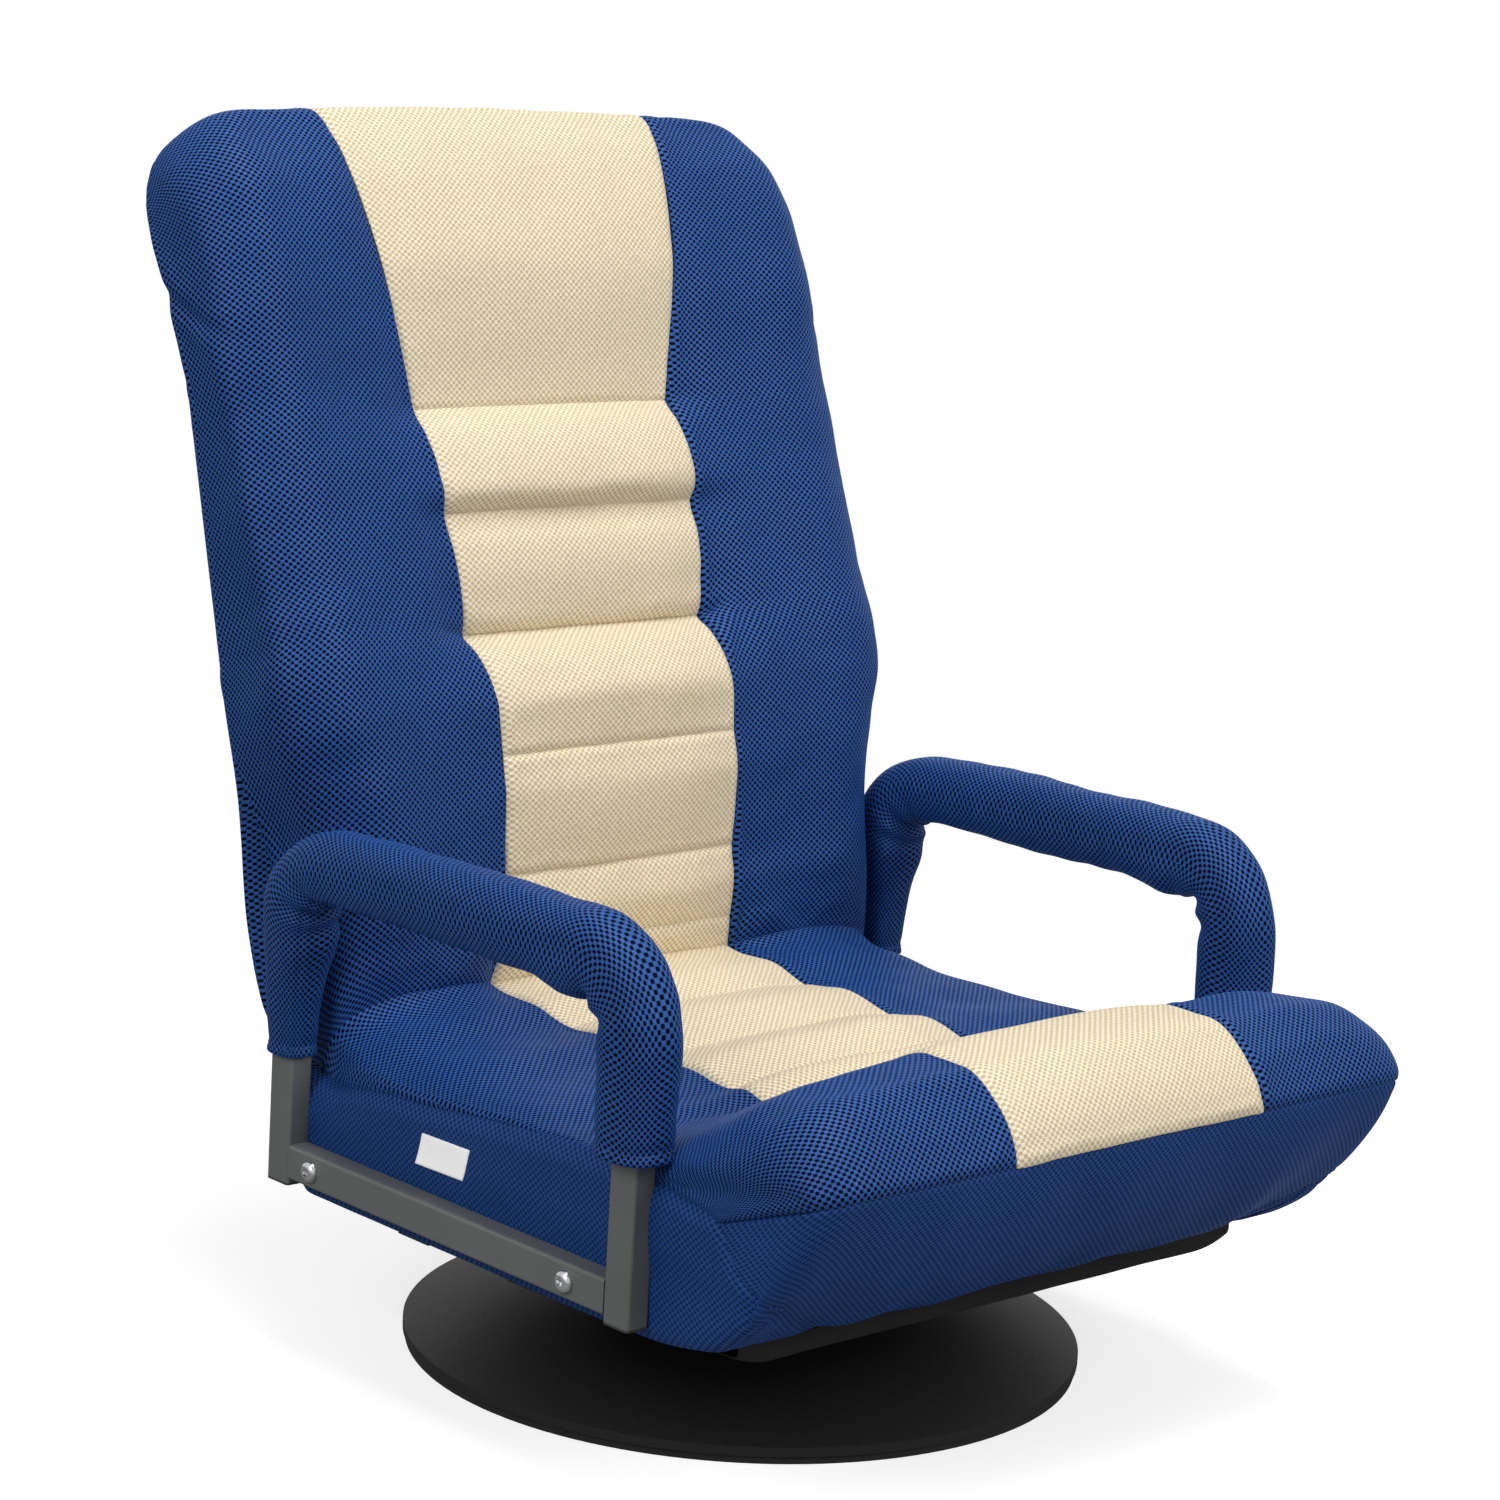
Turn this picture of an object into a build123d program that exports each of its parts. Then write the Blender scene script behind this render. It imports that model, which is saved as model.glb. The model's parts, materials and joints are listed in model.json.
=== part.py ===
from build123d import *
from math import cos, radians, sin
import os

# Floor gaming chair in millimetres. +Z is up, the sitter faces -Y, left is +X,
# and the origin lies on the floor under the swivel axis.

# Base pan
BASE_RADIUS = 220.0
BASE_WALL = 2.5
RIM_HEIGHT = 6.0
PAN_RISE = 4.0            # how far the pan bows above a straight cone
SHOULDER_RADIUS = 112.0
SHOULDER_HEIGHT = 46.0
HUB_RADIUS = 98.0
HUB_ROUND = 6.0
BASE_HEIGHT = 72.0
FOOT_HEIGHT = 5.0
FOOT_WIDTH = 14.0
FOOT_INSET = 1.5
BACKING_RADIUS = 84.0
BACKING_THICKNESS = 3.0

# Swivel bearing
PLATE_SIDE = 136.0
PLATE_CORNER = 14.0
PLATE_THICKNESS = 2.5
BALL_RADIUS = 5.0
BALL_COUNT = 16
RACE_RADIUS = 48.0
RACE_WIDTH = 15.0
RACE_FLOOR = 4.0          # metal left under each ball
RACE_GAP = 0.1            # play between a ball and its groove
LAND_GAP = 1.3            # from the balls' middle plane to each race ring
CAGE_THICKNESS = 1.6
PIVOT_BOLT_RADIUS = 8.0
PIVOT_HEAD_RADIUS = 13.0
PIVOT_HEAD_HEIGHT = 5.0
PIVOT_NUT_HEIGHT = 8.0
BUSH_THICKNESS = 1.5
RUNNING_FIT = 0.05        # radial play of a turning joint
AXIAL_PLAY = 0.1
BOLT_OFFSET = 54.0        # plate bolts from each centre line
BOLT_RADIUS = 4.0
BOLT_HEAD_RADIUS = 7.0
BOLT_HEAD_HEIGHT = 4.5
NUT_HEIGHT = 6.0
BOLT_FIT = 0.25           # play of a bolt in its hole
THREAD_FIT = 0.03         # play drawn between a bolt and its nut
BOLT_TAIL = 2.0           # thread left past a nut

# Seat frame
SEAT_WIDTH = 498.0
SIDE_BAND = 8.0           # thickness of the padded side cover
BAND_GAP = 0.5
SEAT_TUBE = 25.0
TUBE_WALL = 1.5
RAIL_FRONT = -205.0
RAIL_REAR = 142.0
REAR_BAR_REAR = 95.0
SWIVEL_BAR_WIDTH = 30.0
SWIVEL_BAR_HEIGHT = 20.0
SWIVEL_BAR_HALF = 232.0
WEB_COUNT = 5
WEB_WIDTH = 40.0
WEB_THICKNESS = 2.0
WEB_FIRST = -150.0
WEB_PITCH = 52.0

# Seat cushion
SOFT_GAP = 0.4            # between sewn or stacked soft pieces
PAD_DEPTH = 30.7          # from the foam up to the seat seams
FOAM_REAR_HALF = 203.0    # the slab is narrower beside the hinges
FOAM_NOTCH = 92.0
SEAT_SEAM_HEIGHT = 213.5
SEAT_REAR = 128.0
SEAT_SEAMS = (64.0, -16.5, -91.0)
ROLL_START = -122.0
ROLL_RISE = (-200.0, 34.5)        # front roll: place and height over the seat seams
ROLL_TOP = (-262.0, 55.5)
ROLL_NOSE = (-310.0, 45.5)
FRONT_SEAM = (-334.0, 11.5)
NOSE_BELLY = (-300.0, 160.0)
NOSE_FOOT = (-225.0, 106.0)
NOSE_TOP_NORMAL = (1.2, 0.0)      # ways from the nose's outer face into the foam
NOSE_BELLY_NORMAL = (0.8, 0.6)
NOSE_FOOT_NORMAL = (0.55, 0.84)
FRONT_BAND = 9.0
STRIPE_SEAT_HALF = 106.0
PAD_CROWN = 10.0
PAD_END_CROWN = 5.0
SIDE_DROP = 22.0          # how far the seat's outer edges fall below the middle
ROLL_END_DROP = 14.0
BOLSTER_SWELL = 4.0
BAND_FOOT = 101.0
BAND_REAR = 150.0
BAND_LIP = 36.0
LIP_THICKNESS = 5.0
REAR_BAND_TOP = 136.0
DUST_HALF = 214.0
DUST_THICKNESS = 3.5
DUST_BORDER = 11.0
DUST_OPENING = 150.0
TAG_SIZE = (46.0, 21.0)
TAG_PLACE = 8.5
TAG_RISE = 4.35           # tag's middle above halfway from the arm rail to the pads
TAG_THICKNESS = 0.8

# Arms
ARM_GAP = 0.2
ARM_DEPTH = 16.5
ARM_WIDTH = 22.0
ARM_WALL = 1.5
ARM_EDGE = 2.2            # rolled edge of the arm's tube
ARM_REAR = 163.0
ARM_LENGTH = 350.0
ARM_TOP = 325.0
ARM_BEND = 46.0
ARM_DROP = 3.0            # the uprights reach this far below the arm rail
ARM_BOLT_INSETS = (46.0, 56.0)    # rear and front bolts from the arm's ends
PLUG_CAP = 1.5
PLUG_DEPTH = 12.0
PLUG_FIT = 0.1
PAD_WIDTH = 44.0
PAD_HEIGHT = 50.0
PAD_ROUND = 20.0
SLEEVE_THICKNESS = 2.0
SLEEVE_HEM = 3.0
PAD_REAR_END = 198.0
PAD_FRONT_END = 216.0

# Recline hinge
PIVOT_Y = 160.0
PIVOT_Z = 185.0
LEAN = 15.0               # back frame from vertical as photographed
NOTCH_PITCH = 15.0
NOTCH_COUNT = 7
FORWARD_TRAVEL = 15.0
HINGE_PLATE = 3.0
HINGE_GAP = 0.5
BACK_PLATE = 2.5
BACK_PLATE_DISC = 17.0
BACK_PLATE_LENGTH = 120.0
RATCHET_RADIUS = 24.0
NOTCH_DEPTH = 3.5
NOTCH_MOUTH = 4.0
NOTCH_ROOT = 2.0
HINGE_PIN_RADIUS = 6.0
HINGE_HEAD_RADIUS = 10.0
HINGE_HEAD = 3.5
LEG_REAR = 141.0
LEG_FRONT = 100.0
PAWL_PLACE = (25.0, -19.0)
PAWL_BOSS = 4.5
PAWL_PIN_RADIUS = 2.5
PAWL_LIFT = 12.0
PAWL_SIDE_GAP = 0.1
PAWL_TOP = 31.0
TIP_PLAY = 0.3
SPRING_THICKNESS = 1.0
SPRING_TIP = (36.4, 4.5)
SPRING_BEND = (43.5, -12.0)
SPRING_ROOT = (43.5, -20.0)

# Back
BACK_WIDTH = 500.0
WAIST_WIDTH = 468.0       # the back is narrower where it passes the arm pads
WAIST_LENGTH = 172.0
WAIST_FLARE = 80.0
BACK_START = 27.0
BACK_TOP = 612.0
BACK_CORNER = 36.0        # round of the top corners
BACK_TUBE_RADIUS = 9.5
BACK_TUBE_WALL = 1.2
BACK_TUBE_START = 30.0
BACK_TUBE_TOP = 560.0
BACK_BEND = 90.0
CROSSBAR_RADIUS = 6.0
CROSSBAR_PLACES = (150.0, 360.0)
BACK_WEB_FIRST = 90.0
BACK_WEB_PITCH = 88.0
BACK_WEB_THICKNESS = 1.5
BACK_FOAM = 9.4
BACK_FOAM_START = 40.0
BACK_FOAM_END = 568.0
CAVITY_END = 576.0
CAVITY_HALF = 220.0
REAR_FACE = -25.0
REAR_PANEL = 6.0
REAR_PANEL_START = 4.0
HEAD_ROLL_START = 450.0
HEAD_ROLL_DEPTH = 24.0
LOWER_ROLL_END = 165.0
LOWER_ROLL_DEPTH = 13.0
BACK_SEAMS = (
    (30.4, 21.6),
    (53.6, 32.0),
    (101.0, 48.0),
    (177.5, 62.0),
    (258.8, 38.0),
    (338.0, 34.0),
    (406.7, 20.0),
)
BACK_PAD_CROWN = 13.0
STRIPE_WAIST_HALF = 100.0
STRIPE_NECK_HALF = 111.0
STRIPE_TOP_HALF = 141.0
LUMBAR_START = (60.0, 44.0)
LUMBAR_CREST = (195.0, 66.0)
LUMBAR_END = (345.0, 44.0)
NECK = (425.0, 31.0)
HEAD_CREST = (500.0, 42.0)
HEAD_SHOULDER = (575.0, 26.0)
HEAD_ROUND = (602.0, 9.0)
EDGE_FALL = 16.0          # how far the front falls back at the outer edge

# Worked-out places
SEAT_HALF = SEAT_WIDTH / 2
RAIL_OUT = SEAT_HALF - SIDE_BAND - BAND_GAP
RAIL_IN = RAIL_OUT - SEAT_TUBE
BALL_Z = BASE_HEIGHT + PLATE_THICKNESS + RACE_FLOOR + BALL_RADIUS
UPPER_PLATE_Z = BALL_Z + BALL_RADIUS + RACE_FLOOR
BAR_Z = UPPER_PLATE_Z + PLATE_THICKNESS
RAIL_Z = BAR_Z + SWIVEL_BAR_HEIGHT
RAIL_TOP = RAIL_Z + SEAT_TUBE
RAIL_MID = RAIL_Z + SEAT_TUBE / 2
FOAM_Z = RAIL_TOP + WEB_THICKNESS + SOFT_GAP
FOAM_TOP = SEAT_SEAM_HEIGHT - PAD_DEPTH - SOFT_GAP
FOAM_THICKNESS = FOAM_TOP - FOAM_Z
PAD_Z = FOAM_TOP + SOFT_GAP
FRONT_EDGE = (FRONT_SEAM[0], SEAT_SEAM_HEIGHT + FRONT_SEAM[1])
BACK_PLATE_OUT = RAIL_IN - HINGE_PLATE - HINGE_GAP
BACK_PLATE_IN = BACK_PLATE_OUT - BACK_PLATE
BACK_TUBE_X = BACK_PLATE_IN - BACK_TUBE_RADIUS
BACK_TUBE_N = -BACK_TUBE_RADIUS - BACK_WEB_THICKNESS
BACK_PAD_N = BACK_FOAM + 2 * SOFT_GAP
ARM_IN = SEAT_HALF + ARM_GAP
ARM_OUT = ARM_IN + ARM_DEPTH
ARM_X = ARM_IN + ARM_DEPTH / 2
ARM_RAIL_FOOT = RAIL_MID - ARM_WIDTH / 2
ARM_FOOT = ARM_RAIL_FOOT - ARM_DROP
ARM_BOLT_Y = (ARM_REAR - ARM_BOLT_INSETS[0], ARM_REAR - ARM_LENGTH + ARM_BOLT_INSETS[1])
REAR_UPRIGHT = ARM_REAR - ARM_WIDTH / 2
FRONT_UPRIGHT = ARM_REAR - ARM_LENGTH + ARM_WIDTH / 2

# The back's own frame: local x runs up the back from the hinge pivot, local y
# points towards the sitter and local z is the chair's X.
BACK_FRAME = Plane(
    origin=(0, PIVOT_Y, PIVOT_Z),
    x_dir=(0, sin(radians(LEAN)), cos(radians(LEAN))),
    z_dir=(1, 0, 0),
)


def block(low, high):
    """Box between two corners."""
    size = [b - a for a, b in zip(low, high)]
    middle = [(a + b) / 2 for a, b in zip(low, high)]
    return Pos(*middle) * Box(*size)


def box_tube(low, high, wall, along):
    """Rectangular tube between two corners, open at both ends of one axis (0, 1 or 2)."""
    inner_low = [a if i == along else a + wall for i, a in enumerate(low)]
    inner_high = [b if i == along else b - wall for i, b in enumerate(high)]
    return block(low, high) - block(inner_low, inner_high)


def rod(radius, low, high, y=0.0, z=0.0):
    """Round bar along X between two places."""
    bar = Cylinder(radius, high - low, align=(Align.CENTER, Align.CENTER, Align.MIN))
    return Pos(low, y, z) * Rot(0, 90, 0) * bar


def post(radius, low, high, x=0.0, y=0.0):
    """Round bar along Z between two heights."""
    return Pos(x, y, low) * Cylinder(radius, high - low, align=(Align.CENTER, Align.CENTER, Align.MIN))


def hex_post(radius, low, high, x=0.0, y=0.0):
    """Six-sided bar along Z between two heights."""
    return Pos(x, y, low) * extrude(RegularPolygon(radius, 6), high - low)


def outline(*curves):
    """Face inside a chain of curves."""
    return make_face([edge for curve in curves for edge in curve.edges()])


def polygon(*points):
    """Face inside a ring of points."""
    return make_face(Polyline(*points, close=True).edges())


def across(face, low, high, plane=Plane.YZ):
    """Solid between two X places, from a side profile."""
    return extrude(plane.offset(low) * face, high - low)


def skin(sections, plane=Plane.YZ):
    """Smooth solid through side profiles given as (X place, face)."""
    return loft([plane.offset(x) * face for x, face in sections])


def other_side(solid):
    """Mirror image in the chair's middle plane."""
    return mirror(solid, Plane.YZ)


def group(solids):
    """Several loose solids as one piece."""
    return Compound(children=list(solids))


def corners(offset):
    """Four points round the swivel axis."""
    return [(x, y) for x in (-offset, offset) for y in (-offset, offset)]


# Base


def pan_form(inset):
    """Solid under the pan's curve, drawn in by the inset."""
    rim = (BASE_RADIUS - inset, FOOT_HEIGHT + RIM_HEIGHT - inset / 2)
    shoulder = (SHOULDER_RADIUS - inset, SHOULDER_HEIGHT - inset)
    middle = ((rim[0] + shoulder[0]) / 2, (rim[1] + shoulder[1]) / 2 + PAN_RISE)
    hub = (HUB_RADIUS - inset, BASE_HEIGHT - inset)
    slope = ThreePointArc(rim, middle, shoulder)
    rest = Polyline(shoulder, hub, (0, hub[1]), (0, FOOT_HEIGHT), (rim[0], FOOT_HEIGHT), rim)
    solid = revolve(Plane.XZ * outline(slope, rest), Axis.Z)
    brow = solid.edges().filter_by(GeomType.CIRCLE).sort_by(Axis.Z)[-1]
    return fillet(brow, HUB_ROUND - inset)


def base_pan():
    """Pressed pan with a raised hub that carries the bearing."""
    shell = pan_form(0) - pan_form(BASE_WALL)
    for x, y in corners(BOLT_OFFSET):
        shell -= post(BOLT_RADIUS + BOLT_FIT, 0, BASE_HEIGHT + 1, x, y)
    return shell - post(PIVOT_BOLT_RADIUS + BOLT_FIT, 0, BASE_HEIGHT + 1)


def foot_ring():
    """Soft ring under the rim, which the chair stands on."""
    outer = BASE_RADIUS - FOOT_INSET
    return post(outer, 0, FOOT_HEIGHT) - post(outer - FOOT_WIDTH, -1, FOOT_HEIGHT + 1)


def backing_plate():
    """Steel disc that stiffens the hub from below."""
    top = BASE_HEIGHT - BASE_WALL
    plate = post(BACKING_RADIUS, top - BACKING_THICKNESS, top)
    for x, y in corners(BOLT_OFFSET):
        plate -= post(BOLT_RADIUS + BOLT_FIT, 0, BASE_HEIGHT, x, y)
    return plate - post(PIVOT_BOLT_RADIUS + BOLT_FIT, 0, BASE_HEIGHT)


def race_plate(plate_low, ring_low, ring_high, pivot_play):
    """Square bearing plate with a grooved race ring."""
    square = RectangleRounded(PLATE_SIDE, PLATE_SIDE, PLATE_CORNER)
    plate = Pos(0, 0, plate_low) * extrude(square, PLATE_THICKNESS)
    ring = post(RACE_RADIUS + RACE_WIDTH / 2, ring_low, ring_high)
    ring -= post(RACE_RADIUS - RACE_WIDTH / 2, ring_low, ring_high)
    plate = plate + ring - Pos(0, 0, BALL_Z) * Torus(RACE_RADIUS, BALL_RADIUS + RACE_GAP)
    for x, y in corners(BOLT_OFFSET):
        plate -= post(BOLT_RADIUS + BOLT_FIT, plate_low - 1, plate_low + PLATE_THICKNESS + 1, x, y)
    return plate - post(PIVOT_BOLT_RADIUS + pivot_play, plate_low - 1, plate_low + PLATE_THICKNESS + 1)


def bearing_balls():
    """Ring of steel balls."""
    return group(
        Rot(0, 0, 360 * i / BALL_COUNT) * Pos(RACE_RADIUS, 0, BALL_Z) * Sphere(BALL_RADIUS)
        for i in range(BALL_COUNT)
    )


def ball_cage():
    """Flat ring that spaces the balls."""
    low = BALL_Z - CAGE_THICKNESS / 2
    high = BALL_Z + CAGE_THICKNESS / 2
    cage = post(RACE_RADIUS + RACE_WIDTH / 2, low, high) - post(RACE_RADIUS - RACE_WIDTH / 2, low, high)
    for i in range(BALL_COUNT):
        cage -= Rot(0, 0, 360 * i / BALL_COUNT) * post(BALL_RADIUS + RACE_GAP, low, high, RACE_RADIUS)
    return cage


def pivot_bolt():
    """Centre bolt that the seat turns on."""
    seat = BAR_Z + BUSH_THICKNESS + 2 * AXIAL_PLAY
    tail = BASE_HEIGHT - BASE_WALL - BACKING_THICKNESS - PIVOT_NUT_HEIGHT - BOLT_TAIL
    return post(PIVOT_BOLT_RADIUS, tail, seat) + post(PIVOT_HEAD_RADIUS, seat, seat + PIVOT_HEAD_HEIGHT)


def pivot_nut():
    """Nut under the backing plate."""
    top = BASE_HEIGHT - BASE_WALL - BACKING_THICKNESS
    nut = hex_post(PIVOT_HEAD_RADIUS, top - PIVOT_NUT_HEIGHT, top)
    return nut - post(PIVOT_BOLT_RADIUS + THREAD_FIT, 0, BASE_HEIGHT)


def pivot_bush():
    """Slippery washer under the centre bolt's head."""
    low = BAR_Z + AXIAL_PLAY
    bush = post(PIVOT_HEAD_RADIUS, low, low + BUSH_THICKNESS)
    return bush - post(PIVOT_BOLT_RADIUS + RUNNING_FIT, low, low + BUSH_THICKNESS)


def base_bolts():
    """Bolts that hold the lower race plate to the hub."""
    head = BASE_HEIGHT + PLATE_THICKNESS
    tail = BASE_HEIGHT - BASE_WALL - BACKING_THICKNESS - NUT_HEIGHT - BOLT_TAIL
    return group(
        post(BOLT_RADIUS, tail, head, x, y) + hex_post(BOLT_HEAD_RADIUS, head, head + BOLT_HEAD_HEIGHT, x, y)
        for x, y in corners(BOLT_OFFSET)
    )


def base_nuts():
    """Nuts inside the hub."""
    top = BASE_HEIGHT - BASE_WALL - BACKING_THICKNESS
    return group(
        hex_post(BOLT_HEAD_RADIUS, top - NUT_HEIGHT, top, x, y) - post(BOLT_RADIUS + THREAD_FIT, 0, top, x, y)
        for x, y in corners(BOLT_OFFSET)
    )


# Seat frame


def swivel_bars():
    """Two cross tubes that join the bearing to the side rails."""
    bars = []
    for y in (-BOLT_OFFSET, BOLT_OFFSET):
        low = (-SWIVEL_BAR_HALF, y - SWIVEL_BAR_WIDTH / 2, BAR_Z)
        high = (SWIVEL_BAR_HALF, y + SWIVEL_BAR_WIDTH / 2, RAIL_Z)
        bar = box_tube(low, high, TUBE_WALL, 0)
        for x in (-BOLT_OFFSET, BOLT_OFFSET):
            bar -= post(BOLT_RADIUS + BOLT_FIT, BAR_Z - 1, RAIL_Z + 1, x, y)
        bars.append(bar)
    return group(bars)


def swivel_bolts():
    """Bolts that hold the upper race plate to the cross tubes."""
    return group(
        post(BOLT_RADIUS, UPPER_PLATE_Z, RAIL_Z + NUT_HEIGHT + BOLT_TAIL, x, y)
        + hex_post(BOLT_HEAD_RADIUS, UPPER_PLATE_Z - BOLT_HEAD_HEIGHT, UPPER_PLATE_Z, x, y)
        for x, y in corners(BOLT_OFFSET)
    )


def swivel_nuts():
    """Nuts on top of the cross tubes."""
    return group(
        hex_post(BOLT_HEAD_RADIUS, RAIL_Z, RAIL_Z + NUT_HEIGHT, x, y)
        - post(BOLT_RADIUS + THREAD_FIT, RAIL_Z, RAIL_Z + NUT_HEIGHT, x, y)
        for x, y in corners(BOLT_OFFSET)
    )


def seat_rail():
    """Left side rail, drilled for the arm bolts."""
    rail = box_tube((RAIL_IN, RAIL_FRONT, RAIL_Z), (RAIL_OUT, RAIL_REAR, RAIL_TOP), TUBE_WALL, 1)
    for y in ARM_BOLT_Y:
        rail -= rod(BOLT_RADIUS + BOLT_FIT, RAIL_IN + SEAT_TUBE / 2, RAIL_OUT + 1, y, RAIL_MID)
    return rail


def cross_bar(rear):
    """Tube between the side rails, given its rear face."""
    return box_tube((-RAIL_IN, rear - SEAT_TUBE, RAIL_Z), (RAIL_IN, rear, RAIL_TOP), TUBE_WALL, 0)


def seat_webbing():
    """Elastic straps over the rails."""
    straps = []
    for i in range(WEB_COUNT):
        y = WEB_FIRST + i * WEB_PITCH
        low = (-RAIL_OUT, y - WEB_WIDTH / 2, RAIL_TOP)
        high = (RAIL_OUT, y + WEB_WIDTH / 2, RAIL_TOP + WEB_THICKNESS)
        straps.append(block(low, high))
    return group(straps)


# Seat cushion


def seat_foam():
    """Foam slab on the straps, cut in beside the hinges."""
    front = RAIL_FRONT - SOFT_GAP
    shape = polygon(
        (-RAIL_OUT, front),
        (RAIL_OUT, front),
        (RAIL_OUT, FOAM_NOTCH),
        (FOAM_REAR_HALF, FOAM_NOTCH),
        (FOAM_REAR_HALF, SEAT_REAR),
        (-FOAM_REAR_HALF, SEAT_REAR),
        (-FOAM_REAR_HALF, FOAM_NOTCH),
        (-RAIL_OUT, FOAM_NOTCH),
    )
    return Pos(0, 0, FOAM_Z) * extrude(shape, FOAM_THICKNESS)


def nose_curve(depth):
    """Curve of the seat's front underside, set in from the outer face by a depth."""
    inward = (NOSE_TOP_NORMAL, NOSE_BELLY_NORMAL, NOSE_FOOT_NORMAL)
    places = (FRONT_EDGE, NOSE_BELLY, NOSE_FOOT)
    return [(y + depth * a, z + depth * b) for (y, z), (a, b) in zip(places, inward)]


def front_band():
    """Padded front cover that slopes back under the roll."""
    outer = nose_curve(0)
    inner = nose_curve(FRONT_BAND)
    face = outline(
        ThreePointArc(*outer),
        Line(outer[2], inner[2]),
        ThreePointArc(*inner[::-1]),
        Line(inner[0], outer[0]),
    )
    return across(face, -SEAT_HALF + BAND_GAP, SEAT_HALF - BAND_GAP)


def nose_foam():
    """Foam wedge behind the front cover."""
    start, belly, foot = nose_curve(FRONT_BAND + SOFT_GAP)
    rear = RAIL_FRONT - 2 * SOFT_GAP
    face = outline(
        ThreePointArc(start, belly, foot),
        Polyline(foot, (rear, foot[1]), (rear, FOAM_TOP), start),
    )
    return across(face, -RAIL_OUT, RAIL_OUT)


def channel_section(start, end, crown, floor):
    """Section of one quilted channel between two seams, each given in a side view."""
    along = Vector(*end) - Vector(*start)
    out = Vector(-along.Y, along.X).normalized()
    if out.Y < 0:
        out = -out
    top = (Vector(*start) + Vector(*end)) * 0.5 + out * crown
    return outline(
        ThreePointArc(start, (top.X, top.Y), end),
        Polyline(end, (end[0], floor), (start[0], floor), start),
    )


def seat_channels():
    """Pale quilted channels of the seat's middle."""
    seams = (SEAT_REAR,) + SEAT_SEAMS + (ROLL_START,)
    pads = []
    for rear, front in zip(seams, seams[1:]):
        start = (rear - SOFT_GAP / 2, SEAT_SEAM_HEIGHT)
        end = (front + SOFT_GAP / 2, SEAT_SEAM_HEIGHT)
        share = min(1.0, (rear - front) / (2 * PAD_CROWN + PAD_CROWN))
        middle = channel_section(start, end, PAD_CROWN * share, PAD_Z)
        side = channel_section(start, end, PAD_END_CROWN * share, PAD_Z)
        half = STRIPE_SEAT_HALF
        pads.append(skin([(-half, side), (0, middle), (half, side)]))
    return group(pads)


def roll_curves(drop, draw):
    """Top of the front roll from its rear seam to the front seam, lowered and drawn in."""
    start = (ROLL_START, SEAT_SEAM_HEIGHT - drop / 2)
    level = SEAT_SEAM_HEIGHT - drop
    rise = (ROLL_RISE[0], level + ROLL_RISE[1])
    top = (ROLL_TOP[0], level + ROLL_TOP[1])
    nose = (ROLL_NOSE[0] + draw, level + ROLL_NOSE[1])
    seam = (FRONT_EDGE[0] + draw, FRONT_EDGE[1] + SOFT_GAP)
    return start, rise, top, nose, seam


def roll_floor(draw):
    """Underside of the front roll, which lies on the foam, from front to rear."""
    wedge = nose_curve(FRONT_BAND + SOFT_GAP)[0]
    return (wedge[0] + draw, wedge[1] + SOFT_GAP), (RAIL_FRONT, PAD_Z + SOFT_GAP)


def roll_middle_section():
    """Side profile of the pale middle of the front roll."""
    start, rise, top, nose, seam = roll_curves(0, 0)
    wedge, heel = roll_floor(0)
    begin = (start[0] - SOFT_GAP / 2, start[1])
    return outline(
        ThreePointArc(begin, rise, top),
        ThreePointArc(top, nose, seam),
        Polyline(seam, wedge, heel, (begin[0], PAD_Z), begin),
    )


def front_roll():
    """Pale middle of the raised front roll."""
    return across(roll_middle_section(), -STRIPE_SEAT_HALF, STRIPE_SEAT_HALF)


def seat_bolster_section(drop, roll_drop, draw):
    """Side profile of a seat bolster, lowered towards the chair's side."""
    start, rise, top, nose, seam = roll_curves(roll_drop, draw)
    wedge, heel = roll_floor(draw)
    begin = (start[0], SEAT_SEAM_HEIGHT - drop)
    rear = (SEAT_REAR, SEAT_SEAM_HEIGHT - drop)
    return outline(
        Line(rear, begin),
        ThreePointArc(begin, rise, top),
        ThreePointArc(top, nose, seam),
        Polyline(seam, wedge, heel, (SEAT_REAR, PAD_Z), rear),
    )


def seat_bolster():
    """Left blue bolster of the seat, from the stripe out to the side, dented by the arm pad."""
    inner = STRIPE_SEAT_HALF + SOFT_GAP
    middle = (inner + SEAT_HALF) / 2
    form = skin(
        [
            (inner, seat_bolster_section(0, 0, 0)),
            (middle, seat_bolster_section(-BOLSTER_SWELL, -BOLSTER_SWELL / 2, 0)),
            (SEAT_HALF, seat_bolster_section(SIDE_DROP, ROLL_END_DROP, PAD_END_CROWN)),
        ]
    )
    hem = SLEEVE_HEM + SOFT_GAP
    return form - arm_sweep(pad_section(-SOFT_GAP), PAD_REAR_END - hem, PAD_FRONT_END - hem)


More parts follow.
